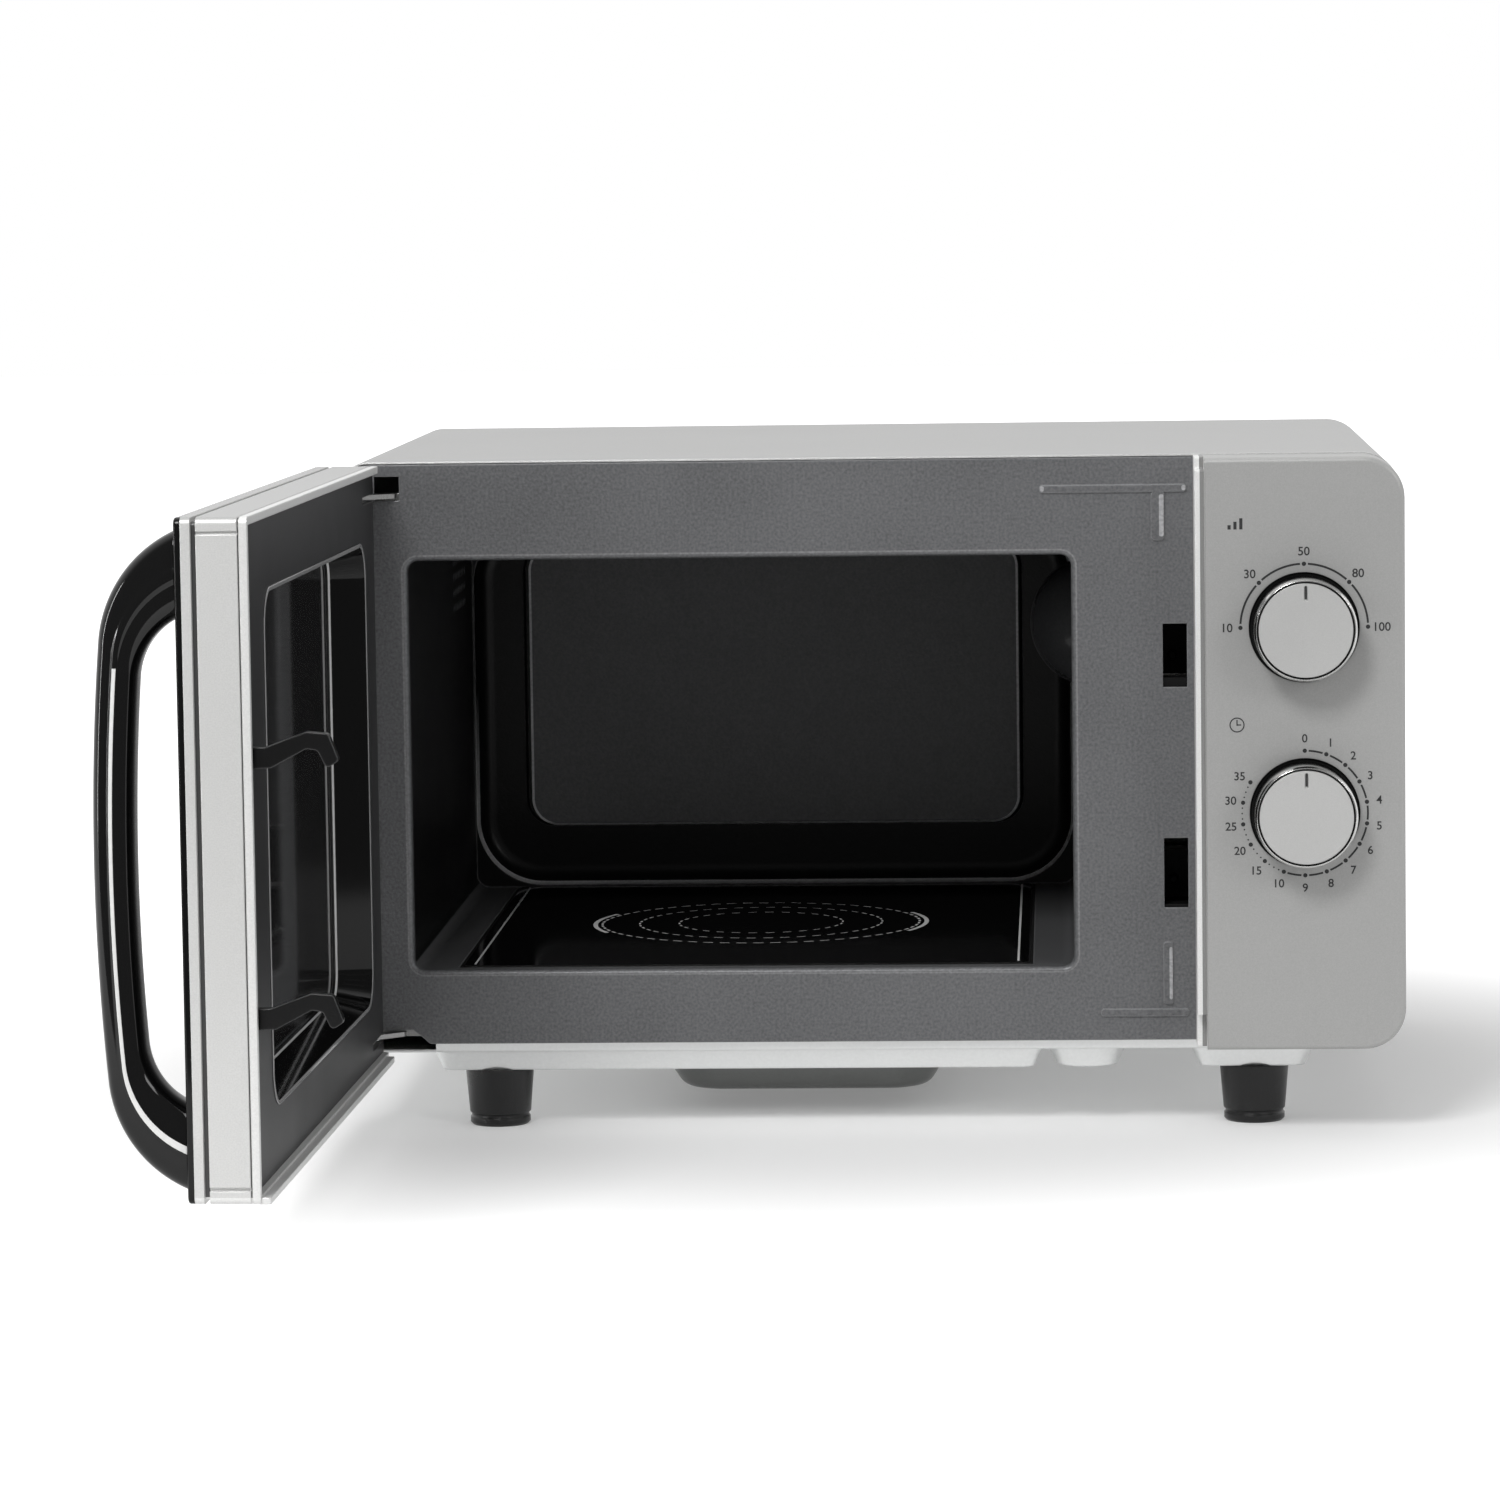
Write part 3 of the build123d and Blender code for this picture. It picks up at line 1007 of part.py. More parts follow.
# Door frame: the silver plastic rim, grooved round its edge, with solid blocks for the hinge pins
POCKET_PLAY = 0.6
SWING_CUT = 2.4  # bevel that lets the hinge side pass the front plate
LEDGE_U0 = 4.0  # the bottom ledge that reaches in under the front plate when shut
LEDGE_REACH = 15.4
LEDGE_HEIGHT = 2.4
with BuildPart() as door_frame:
    with BuildSketch(DOOR.offset(DOOR_IN)):
        span(DOOR_U0, DOOR_U1, DOOR_Z0, DOOR_Z1, 2.5)
        span(DOOR_U0 + FRAME_WALL, DOOR_U1 - FRAME_WALL, DOOR_Z0 + FRAME_WALL, DOOR_Z1 - FRAME_WALL,
             mode=Mode.SUBTRACT)
    extrude(amount=DOOR_RIM - DOOR_IN)
    with BuildSketch(DOOR.offset(DOOR_RIM)):
        span(DOOR_U0 + 1, DOOR_U1 - 1, DOOR_Z0 + 1, DOOR_Z1 - 1, 2)
        span(DOOR_U0 + FLANGE, DOOR_U1 - FLANGE, DOOR_Z0 + FLANGE, DOOR_Z1 - FLANGE, mode=Mode.SUBTRACT)
    extrude(amount=-2.5)
    with BuildSketch(DOOR.offset(DOOR_COVER)):
        span(DOOR_U0 + 1, 9, DOOR_Z1 - 30, DOOR_Z1 - 1)
        span(DOOR_U0 + 1, 9, DOOR_Z0 + 1, DOOR_Z0 + 30)
    extrude(amount=DOOR_RIM - DOOR_COVER)
    for low, width, depth in ((GROOVE_W, GROOVE_WIDTH, 1.6), (LIP_LINE_W, 0.6, 0.5)):
        with BuildSketch(DOOR.offset(low)):
            span(DOOR_U0, DOOR_U1, DOOR_Z0, DOOR_Z1)
            span(DOOR_U0 + depth, DOOR_U1 - depth, DOOR_Z0 + depth, DOOR_Z1 - depth, 1.5, Mode.SUBTRACT)
        extrude(amount=width, mode=Mode.SUBTRACT)
    with BuildSketch(DOOR.offset(DOOR_IN)):
        span(DOOR_U0, DOOR_U0 + FRAME_WALL, DOOR_Z0 + FRAME_WALL, DOOR_Z1 - FRAME_WALL)
    extrude(amount=DOOR_COVER - DOOR_IN, mode=Mode.SUBTRACT)
    with BuildSketch(door_level(DOOR_Z0)):
        with BuildLine():
            Polyline((DOOR_U0, -DOOR_IN), (DOOR_U0 + SWING_CUT, -DOOR_IN),
                     (DOOR_U0, -DOOR_IN - SWING_CUT), close=True)
        make_face()
    extrude(amount=DOOR_Z1 - DOOR_Z0, mode=Mode.SUBTRACT)
    with BuildSketch(door_level(DOOR_Z0)):
        span(LEDGE_U0, DOOR_U1 - 1.5, -DOOR_IN - 1, LEDGE_REACH, 0.9)
    extrude(amount=LEDGE_HEIGHT)
    for level in (HINGE_TOP_Z, HINGE_LOW_Z):
        with BuildSketch(door_level(level - POCKET_PLAY)):
            span(*HINGE_POCKET)
        extrude(amount=HINGE_STRAP + 2 * POCKET_PLAY, mode=Mode.SUBTRACT)
    with BuildSketch(door_level(HINGE_TOP_Z)):
        Circle(PIN_RADIUS + RUNNING_FIT)
    extrude(amount=12.5, mode=Mode.SUBTRACT)
    with BuildSketch(door_level(HINGE_LOW_Z)):
        Circle(PIN_RADIUS + RUNNING_FIT)
    extrude(amount=-6.5, mode=Mode.SUBTRACT)
    with BuildSketch(DOOR.offset(DOOR_RIM)):
        with Locations(*HANDLE_SCREWS):
            Circle(SCREW_RADIUS + 0.2)
    extrude(amount=-3, mode=Mode.SUBTRACT)
    with BuildSketch(door_side(DOOR_U1)):
        span(LIP_LINE_W, GROOVE_W, DOOR_Z1 - END_RAIL - 1.2, DOOR_Z1 - END_RAIL)
        span(LIP_LINE_W, GROOVE_W, DOOR_Z0 + END_RAIL, DOOR_Z0 + END_RAIL + 1.2)
    extrude(amount=1, mode=Mode.SUBTRACT)
door_frame.part.label = "door_frame"
export_step(door_frame.part, "parts/door_frame.step")

# Door front panel: black, glued over the frame's flange
with BuildPart() as door_panel:
    with BuildSketch(DOOR.offset(DOOR_RIM)):
        span(DOOR_U0, DOOR_U1, DOOR_Z0, DOOR_Z1, 3)
        with Locations(*HANDLE_SCREWS):
            Circle(SCREW_RADIUS + 0.2, mode=Mode.SUBTRACT)
    extrude(amount=DOOR_OUT - DOOR_RIM)
    front = door_panel.faces().sort_by(Axis(HINGE, OUTWARD))[-1]
    fillet(front.outer_wire().edges(), 1)
door_panel.part.label = "door_panel"
export_step(door_panel.part, "parts/door_panel.step")

# Inner cover: the charcoal plastic face of the door, open where the dished window sits
with BuildPart() as choke_cover:
    inset = FRAME_WALL + 0.1
    with BuildSketch(DOOR.offset(DOOR_FACE)):
        span(DOOR_U0 + 0.2, DOOR_U1 - inset, DOOR_Z0 + inset, DOOR_Z1 - inset)
        span(DISH_U0 - DISH_WALL, DISH_U1 + DISH_WALL, DISH_Z0 - DISH_WALL, DISH_Z1 + DISH_WALL,
             DISH_CORNER + DISH_WALL, Mode.SUBTRACT)
    extrude(amount=DOOR_COVER - DOOR_FACE)
    for level in (HINGE_TOP_Z, HINGE_LOW_Z):
        with BuildSketch(door_level(level - POCKET_PLAY)):
            span(*HINGE_POCKET)
        extrude(amount=HINGE_STRAP + 2 * POCKET_PLAY, mode=Mode.SUBTRACT)
    with BuildSketch(DOOR.offset(DOOR_FACE)):
        for root in HOOK_ROOTS:
            span(HOOK_U - 3, HOOK_U + 3, root - 0.8, root + ARM_HEIGHT + LATCH_LIFT + 1.5)
        span(HOOK_U - 2, HOOK_U + 2, DOOR_Z1 - 22, DOOR_Z1 - 10)
        span(HOOK_U - 2, HOOK_U + 2, DOOR_Z0 + 12, DOOR_Z0 + 24)
    extrude(amount=DOOR_COVER - DOOR_FACE, mode=Mode.SUBTRACT)
choke_cover.part.label = "choke_cover"
export_step(choke_cover.part, "parts/choke_cover.step")

# Door window: a deep glossy black dish moulded in one, with a thin rounded rim
with BuildPart() as door_window:
    with BuildSketch(DOOR.offset(DOOR_FACE)):
        span(DISH_U0 - DISH_WALL, DISH_U1 + DISH_WALL, DISH_Z0 - DISH_WALL, DISH_Z1 + DISH_WALL,
             DISH_CORNER + DISH_WALL)
    extrude(amount=DISH_DEPTH + DISH_WALL, taper=DISH_TAPER)
    with BuildSketch(DOOR.offset(DOOR_FACE)):
        span(DISH_U0 - DISH_WALL, DISH_U1 + DISH_WALL, DISH_Z0 - DISH_WALL, DISH_Z1 + DISH_WALL,
             DISH_CORNER + DISH_WALL)
    extrude(amount=-DISH_RIM)
    with BuildSketch(DOOR.offset(DOOR_FACE - DISH_RIM)):
        span(DISH_U0, DISH_U1, DISH_Z0, DISH_Z1, DISH_CORNER)
    extrude(amount=DISH_DEPTH + DISH_RIM, taper=DISH_TAPER, mode=Mode.SUBTRACT)
    pane = door_window.faces().filter_by(Axis(HINGE, OUTWARD)).sort_by(Axis(HINGE, OUTWARD))[1]
    fillet(pane.edges(), DISH_FOOT)
    fillet(door_window.faces().sort_by(Axis(HINGE, OUTWARD))[0].edges(), 0.6 * DISH_RIM)
door_window.part.label = "door_window"
export_step(door_window.part, "parts/door_window.step")

# Door choke: the steel inner pan, with the perforated screen behind the window and two folded walls
CHOKE_W = DOOR_FACE + DISH_DEPTH + DISH_WALL
CHOKE_U0 = 12.0
CHOKE_U1 = 326.0
CHOKE_EDGE = 8.0
CHOKE_GAP = 3.0  # from the dish's rim to the inner wall
with BuildPart() as door_choke:
    with BuildSketch(DOOR.offset(CHOKE_W)):
        span(CHOKE_U0, CHOKE_U1, DOOR_Z0 + CHOKE_EDGE, DOOR_Z1 - CHOKE_EDGE)
    extrude(amount=SHEET)
    with BuildSketch(DOOR.offset(CHOKE_W)):
        span(CHOKE_U0, CHOKE_U1, DOOR_Z0 + CHOKE_EDGE, DOOR_Z1 - CHOKE_EDGE)
        span(CHOKE_U0 + SHEET, CHOKE_U1 - SHEET, DOOR_Z0 + CHOKE_EDGE + SHEET, DOOR_Z1 - CHOKE_EDGE - SHEET,
             mode=Mode.SUBTRACT)
        span(DISH_U0 - CHOKE_GAP - SHEET, DISH_U1 + CHOKE_GAP + SHEET,
             DISH_Z0 - CHOKE_GAP - SHEET, DISH_Z1 + CHOKE_GAP + SHEET)
        span(DISH_U0 - CHOKE_GAP, DISH_U1 + CHOKE_GAP, DISH_Z0 - CHOKE_GAP, DISH_Z1 + CHOKE_GAP,
             mode=Mode.SUBTRACT)
    extrude(amount=DOOR_COVER + 0.4 - CHOKE_W)
door_choke.part.label = "door_choke"
export_step(door_choke.part, "parts/door_choke.step")

# Handle: a bowed bar with thick roots, screwed on from inside the door
HANDLE_MID = (HANDLE_Z0 + HANDLE_Z1) / 2
with BuildPart() as handle:
    top_out = HANDLE_Z1 - 40
    top_in = HANDLE_Z1 - HANDLE_ROOT - 22
    with BuildSketch(door_side(HANDLE_U1)):
        with BuildLine():
            bow = ThreePointArc(
                (DOOR_OUT + HANDLE_REACH - 3.5, 2 * HANDLE_MID - top_out),
                (DOOR_OUT + HANDLE_REACH, HANDLE_MID),
                (DOOR_OUT + HANDLE_REACH - 3.5, top_out),
            )
            shoulder = TangentArc(bow @ 1, (DOOR_OUT, HANDLE_Z1), tangent=bow % 1)
            heel = TangentArc(bow @ 0, (DOOR_OUT, HANDLE_Z0), tangent=(bow % 0) * -1)
            grip = ThreePointArc(
                (DOOR_OUT + HANDLE_REACH - HANDLE_BAR - 2.5, 2 * HANDLE_MID - top_in),
                (DOOR_OUT + HANDLE_REACH - HANDLE_BAR, HANDLE_MID),
                (DOOR_OUT + HANDLE_REACH - HANDLE_BAR - 2.5, top_in),
            )
            root_top = TangentArc(grip @ 1, (DOOR_OUT, HANDLE_Z1 - HANDLE_ROOT), tangent=grip % 1)
            root_low = TangentArc(grip @ 0, (DOOR_OUT, HANDLE_Z0 + HANDLE_ROOT), tangent=(grip % 0) * -1)
            Line(shoulder @ 1, root_top @ 1)
            Line(heel @ 1, root_low @ 1)
        make_face()
    extrude(amount=HANDLE_U1 - HANDLE_U0)
    across_door = Axis(HINGE, ALONG)
    long_edges = handle.faces().filter_by(across_door).edges()
    fillet([edge for edge in long_edges if edge.geom_type == GeomType.CIRCLE], HANDLE_ROUND)
    with BuildSketch(DOOR.offset(DOOR_OUT)):
        with Locations(*HANDLE_SCREWS):
            Circle(SCREW_RADIUS + RUNNING_FIT)
    extrude(amount=12, mode=Mode.SUBTRACT)
handle.part.label = "handle"
export_step(handle.part, "parts/handle.step")

# Handle screws, from behind the frame's flange
with BuildPart() as handle_screws:
    with BuildSketch(DOOR.offset(DOOR_RIM - 2.5)):
        with Locations(*HANDLE_SCREWS):
            Circle(HEAD_RADIUS)
    extrude(amount=-2.5)
    with BuildSketch(DOOR.offset(DOOR_RIM - 2.5)):
        with Locations(*HANDLE_SCREWS):
            Circle(SCREW_RADIUS)
    extrude(amount=13)
handle_screws.part.label = "handle_screws"
export_step(handle_screws.part, "parts/handle_screws.step")

# Latch: one bar inside the door with two hooks that drop into the front plate's slots
BAR_Z0 = 86.0
BAR_T = 2.2  # from the hinge plane towards the oven
BAR_THICK = 4.0
BAR_Z1 = 212.0
with BuildPart() as latch_hooks:
    with BuildSketch(door_level(BAR_Z0)):
        span(HOOK_U - 3.5, HOOK_U + 3.5, BAR_T, BAR_T + BAR_THICK)
    extrude(amount=BAR_Z1 - BAR_Z0)
    for root in HOOK_ROOTS:
        with BuildSketch(door_side(HOOK_U + HOOK_THICK / 2)) as hook:
            with BuildLine():
                Polyline(
                    (-4, root), (-18, root + 0.5), (-31, root + 7.4), (-35, root + 6.8), (-38.2, root + 0.2),
                    (HOOK_REACH, root + 3), (-39, root + 12.8), (-31, root + 13.5),
                    (-16, root + ARM_HEIGHT), (-4, root + ARM_HEIGHT), close=True,
                )
            make_face()
            fillet(hook.vertices().filter_by_position(Axis.X, HOOK_REACH, -6), 1.6)
        extrude(amount=HOOK_THICK)
latch_hooks.part.label = "latch_hooks"
export_step(latch_hooks.part, "parts/latch_hooks.step")

# Latch spring: stands on the frame's lower wall and draws the bar down
with BuildPart() as latch_spring:
    with BuildSketch(door_level(DOOR_Z0 + FRAME_WALL)):
        with Locations((HOOK_U, BAR_T + BAR_THICK / 2)):
            Circle(2.4)
            Circle(1.7, mode=Mode.SUBTRACT)
    extrude(amount=BAR_Z0 - 0.4 - DOOR_Z0 - FRAME_WALL)
latch_spring.part.label = "latch_spring"
export_step(latch_spring.part, "parts/latch_spring.step")

# Knobs: a chromed skirt with a hub, a pressed-on face disc, and the shaft into the timer unit
KNOB_FRONT = FACE_Y - FASCIA_DEPTH - KNOB_HEIGHT
KNOB_BACK = FACE_Y - FASCIA_DEPTH + DIAL_SINK - 0.5
FACE_SEAT = KNOB_FRONT + 1.6
for name, z in (("power", POWER_Z), ("timer", TIMER_Z)):
    spin = Axis((KNOB_X, 0, z), (0, 1, 0))
    with BuildPart() as knob:
        with BuildSketch(across(KNOB_X, z)):
            with BuildLine():
                Polyline(
                    (SHAFT_RADIUS + RUNNING_FIT, KNOB_BACK), (7, KNOB_BACK), (7, FACE_SEAT + 2),
                    (KNOB_FACE - 1, FACE_SEAT + 2), (KNOB_RADIUS - 1.8, KNOB_BACK),
                    (KNOB_RADIUS, KNOB_BACK), (KNOB_RADIUS, KNOB_BACK - 2.5),
                    (KNOB_FACE + 1.6, KNOB_FRONT + 1.2),
                    (KNOB_FACE + 0.9, KNOB_FRONT), (KNOB_FACE, KNOB_FRONT), (KNOB_FACE, FACE_SEAT),
                    (SHAFT_RADIUS + RUNNING_FIT, FACE_SEAT), close=True,
                )
            make_face()
        revolve(axis=spin)
    knob.part.label = f"{name}_knob"
    export_step(knob.part, f"parts/{name}_knob.step")

    with BuildPart() as cap:
        with BuildSketch(across(KNOB_X, z)):
            span(0, KNOB_FACE - 0.2, KNOB_FRONT + 0.2, FACE_SEAT)
        revolve(axis=spin)
        with BuildSketch(FRONT.offset(FACE_Y - KNOB_FRONT - 0.2)):
            with Locations((KNOB_X, z + 15)):
                Rectangle(1.3, 5.6)
        extrude(amount=-0.4, mode=Mode.SUBTRACT)
    cap.part.label = f"{name}_knob_cap"
    export_step(cap.part, f"parts/{name}_knob_cap.step")

    with BuildPart() as shaft:
        with BuildSketch(FRONT.offset(UNIT_FRONT - 11)):
            with Locations((KNOB_X, z)):
                Circle(SHAFT_RADIUS)
        extrude(amount=FACE_Y - FACE_SEAT - 0.2 - UNIT_FRONT + 11)
    shaft.part.label = f"{name}_shaft"
    export_step(shaft.part, f"parts/{name}_shaft.step")
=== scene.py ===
from math import cos, sin, radians
import bpy
import numpy as np
from mathutils import Matrix, Vector


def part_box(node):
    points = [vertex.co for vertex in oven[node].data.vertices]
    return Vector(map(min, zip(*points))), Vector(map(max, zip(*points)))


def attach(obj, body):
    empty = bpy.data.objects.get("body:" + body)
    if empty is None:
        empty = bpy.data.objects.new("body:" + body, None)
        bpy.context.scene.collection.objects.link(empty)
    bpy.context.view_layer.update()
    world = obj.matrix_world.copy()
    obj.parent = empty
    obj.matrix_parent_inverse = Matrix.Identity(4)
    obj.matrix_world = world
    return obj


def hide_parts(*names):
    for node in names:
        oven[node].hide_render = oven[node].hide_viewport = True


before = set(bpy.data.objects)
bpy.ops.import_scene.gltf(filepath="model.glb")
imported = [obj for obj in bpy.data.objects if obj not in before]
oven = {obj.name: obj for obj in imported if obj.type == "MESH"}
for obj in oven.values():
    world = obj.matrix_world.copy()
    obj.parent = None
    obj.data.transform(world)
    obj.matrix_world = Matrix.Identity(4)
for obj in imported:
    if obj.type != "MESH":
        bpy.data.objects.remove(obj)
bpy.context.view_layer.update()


# Base plate: a pressed sheet of painted steel with two shallow troughs and a round-cornered
# well for the stirrer motor. It is stamped in one piece, and the feet are screwed to it.
def shader_group(name, inputs, outputs):
    """A shader node group with named float, colour or vector sockets, and its inner ends."""
    group = bpy.data.node_groups.new(name, "ShaderNodeTree")
    for way, sockets in (("INPUT", inputs), ("OUTPUT", outputs)):
        for label, kind in sockets:
            group.interface.new_socket(label, in_out=way, socket_type="NodeSocket" + kind)
    return group, group.nodes.new("NodeGroupInput").outputs, group.nodes.new("NodeGroupOutput").inputs


def sum_node(tree, operation, first, second=None, third=None):
    """One Math node. Each operand is a socket or a plain number."""
    node = tree.nodes.new("ShaderNodeMath")
    node.operation = operation
    for place, operand in enumerate((first, second, third)):
        if isinstance(operand, (int, float)):
            node.inputs[place].default_value = operand
        elif operand is not None:
            tree.links.new(operand, node.inputs[place])
    return node.outputs[0]


def noise_node(tree, scale, detail, vector):
    """One Noise texture's value. The scale is a socket or a plain number, per metre."""
    node = tree.nodes.new("ShaderNodeTexNoise")
    node.inputs["Detail"].default_value = detail
    if isinstance(scale, (int, float)):
        node.inputs["Scale"].default_value = scale
    else:
        tree.links.new(scale, node.inputs["Scale"])
    tree.links.new(vector, node.inputs["Vector"])
    return node.outputs[0]


# The skin of any coated or moulded surface: a fine grain in the colour and the relief,
# and broad clouds in the gloss, where hands and cloths have been.
skin, skin_in, skin_out = shader_group(
    "coated_skin",
    (("Colour", "Color"), ("Grain Scale", "Float"), ("Grain Tint", "Float"), ("Roughness", "Float"),
     ("Gloss Clouds", "Float"), ("Cloud Scale", "Float")),
    (("Colour", "Color"), ("Roughness", "Float"), ("Height", "Float")))
cloud_share = 0.4
skin_mean = 0.5 + 0.5 * cloud_share
skin_place = skin.nodes.new("ShaderNodeTexCoord").outputs["Object"]
skin_grain = noise_node(skin, skin_in["Grain Scale"], 2.0, skin_place)
skin_cloud = noise_node(skin, skin_in["Cloud Scale"], 4.0, skin_place)
skin_mix = sum_node(skin, "ADD", skin_grain, sum_node(skin, "MULTIPLY", skin_cloud, cloud_share))
skin_swing = sum_node(skin, "MULTIPLY", sum_node(skin, "SUBTRACT", skin_mix, skin_mean), 2.0)
skin_value = sum_node(skin, "MULTIPLY_ADD", skin_swing, skin_in["Grain Tint"], 1.0)
skin_tint = skin.nodes.new("ShaderNodeHueSaturation")
skin.links.new(skin_in["Colour"], skin_tint.inputs["Color"])
skin.links.new(skin_value, skin_tint.inputs["Value"])
skin.links.new(skin_tint.outputs[0], skin_out["Colour"])
skin_rub = sum_node(skin, "MULTIPLY", sum_node(skin, "SUBTRACT", skin_cloud, 0.5), 2.0)
skin_rough = sum_node(skin, "MULTIPLY_ADD", skin_rub, skin_in["Gloss Clouds"], skin_in["Roughness"])
skin.links.new(skin_rough, skin_out["Roughness"])
skin.links.new(skin_grain, skin_out["Height"])

# The edge of any pressed or moulded piece: a small rounding that catches the light,
# and a broken mask along it, where an edge colour is painted: partly a rubbed, thinner coat and
# partly a painted highlight.
edges, edges_in, edges_out = shader_group(
    "rounded_edges", (("Radius", "Float"),), (("Normal", "Vector"), ("Rubbed And Lit", "Float")))
edge_patch_scale, edge_gain = 160.0, 5.0
edge_round = edges.nodes.new("ShaderNodeBevel")
edge_round.samples = 6
edges.links.new(edges_in["Radius"], edge_round.inputs["Radius"])
edge_true = edges.nodes.new("ShaderNodeNewGeometry").outputs["True Normal"]
edge_dot = edges.nodes.new("ShaderNodeVectorMath")
edge_dot.operation = "DOT_PRODUCT"
edges.links.new(edge_round.outputs[0], edge_dot.inputs[0])
edges.links.new(edge_true, edge_dot.inputs[1])
edges.links.new(edge_round.outputs[0], edges_out["Normal"])
edge_bent = sum_node(edges, "SUBTRACT", 1.0, edge_dot.outputs["Value"])
edge_noise = noise_node(edges, edge_patch_scale, 3.0, edges.nodes.new("ShaderNodeTexCoord").outputs["Object"])
edge_mask = sum_node(edges, "MULTIPLY", sum_node(edges, "MULTIPLY", edge_bent, edge_gain), edge_noise)
edges.links.new(sum_node(edges, "MINIMUM", edge_mask, 1.0), edges_out["Rubbed And Lit"])


def finish(name, colour, rough, metal=0.0, grain=900.0, tint=0.06, clouds=0.06, cloud=16.0,
           relief=0.00002, edge=0.0005, worn_and_lit=None, specular=0.5):
    """A Principled material: the coated skin gives colour, gloss and relief, and the rounded
    edges give the normal. The worn edge colour is painted along the rounded edges: partly a rubbed
    coat, and partly a painted highlight where the edges catch light."""
    material = bpy.data.materials.new(name)
    material.use_nodes = True
    tree = material.node_tree
    shader = tree.nodes["Principled BSDF"]
    shader.inputs["Metallic"].default_value = metal
    shader.inputs["Specular IOR Level"].default_value = specular
    cover = tree.nodes.new("ShaderNodeGroup")
    cover.node_tree = skin
    cover.name = "Skin"
    for label, value in (("Colour", (*colour, 1.0)), ("Grain Scale", grain), ("Grain Tint", tint),
                         ("Roughness", rough), ("Gloss Clouds", clouds), ("Cloud Scale", cloud)):
        cover.inputs[label].default_value = value
    rim = tree.nodes.new("ShaderNodeGroup")
    rim.node_tree = edges
    rim.inputs["Radius"].default_value = edge
    bump = tree.nodes.new("ShaderNodeBump")
    bump.inputs["Distance"].default_value = relief
    tree.links.new(cover.outputs["Height"], bump.inputs["Height"])
    tree.links.new(rim.outputs["Normal"], bump.inputs["Normal"])
    tree.links.new(bump.outputs[0], shader.inputs["Normal"])
    tree.links.new(cover.outputs["Roughness"], shader.inputs["Roughness"])
    shade = cover.outputs["Colour"]
    if worn_and_lit:
        show = tree.nodes.new("ShaderNodeMix")
        show.data_type = "RGBA"
        show.inputs["B"].default_value = (*worn_and_lit, 1.0)
        tree.links.new(rim.outputs["Rubbed And Lit"], show.inputs["Factor"])
        tree.links.new(shade, show.inputs["A"])
        shade = show.outputs["Result"]
    tree.links.new(shade, shader.inputs["Base Color"])
    return material


def axes(tree, kind):
    """The X, Y and Z of a texture coordinate: Object gives places in metres, Normal gives facings."""
    split = tree.nodes.new("ShaderNodeSeparateXYZ")
    tree.links.new(tree.nodes.new("ShaderNodeTexCoord").outputs[kind], split.inputs[0])
    return split.outputs


def below(tree, value, limit):
    """A mask that is one where a value is less than a number."""
    return sum_node(tree, "LESS_THAN", value, limit)


def tint_where(material, mask, colour):
    """Gives the skin another colour where a mask is one."""
    tree = material.node_tree
    target = tree.nodes["Skin"].inputs["Colour"]
    blend = tree.nodes.new("ShaderNodeMix")
    blend.data_type = "RGBA"
    if target.is_linked:
        tree.links.new(target.links[0].from_socket, blend.inputs["A"])
    else:
        blend.inputs["A"].default_value = target.default_value
    blend.inputs["B"].default_value = (*colour, 1.0)
    tree.links.new(mask, blend.inputs["Factor"])
    tree.links.new(blend.outputs["Result"], target)


def dress(material, *names):
    """Gives carried-over solids one material."""
    for name in names:
        mesh = oven[name].data
        mesh.materials.clear()
        mesh.materials.append(material)


well_shade_top = 0.0243
base_paint = finish("pale_base_paint", (0.88, 0.89, 0.885), 0.3, metal=0.85, grain=700.0, tint=0.05,
                    relief=0.00003, edge=0.0016, worn_and_lit=(0.85, 0.86, 0.86))
base_tree = base_paint.node_tree
# Painted shade: the base below the top of the stirrer well, chiefly the well, is painted dark grey.
base_shaded = below(base_tree, axes(base_tree, "Object")["Z"], well_shade_top)
tint_where(base_paint, base_shaded, (0.2, 0.205, 0.2))
dress(base_paint, "base_plate")


# Feet: four tapered rubber pads with a recess below, each held by one zinc-plated screw through
# the base. The rubber is black and slightly glossy, and paler along its edges: partly rubbed, and
# partly a painted highlight.
def zinc_plate(name):
    """Bright zinc plating on steel, with a fine crystal in its gloss."""
    return finish(name, (0.55, 0.55, 0.53), 0.34, metal=1.0, grain=2500.0, tint=0.12, clouds=0.1, cloud=220.0)


dress(finish("foot_rubber", (0.008, 0.008, 0.0083), 0.3, grain=1400.0, tint=0.25, clouds=0.12,
             relief=0.00006, edge=0.0012, worn_and_lit=(0.05, 0.05, 0.05), specular=0.45),
      "foot_front_left", "foot_front_right", "foot_rear_left", "foot_rear_right")
dress(zinc_plate("screw_zinc"), "foot_screws", "handle_screws")


# Cooking room: a deep-drawn steel box with an embossed back wall, spot-welded to the front plate
# and coated inside with a dark, slightly grainy baked enamel. Light and shade are painted into the
# enamel: the floor, the right wall and the raised back panel are painted lighter, the ring round the
# panel darker, and the pressed edges carry painted highlight lines.
def beyond(tree, value, limit):
    """A mask that is one where a value is more than a number."""
    return sum_node(tree, "GREATER_THAN", value, limit)


def both(tree, first, second):
    """The product of two masks, which is one only where both are one."""
    return sum_node(tree, "MULTIPLY", first, second)


def within(tree, value, low, high):
    """A mask that is one where a value lies between two numbers."""
    return both(tree, beyond(tree, value, low), below(tree, value, high))


def away(tree, value, middle):
    """How far a value lies from a number, either way."""
    return sum_node(tree, "ABSOLUTE", sum_node(tree, "SUBTRACT", value, middle))


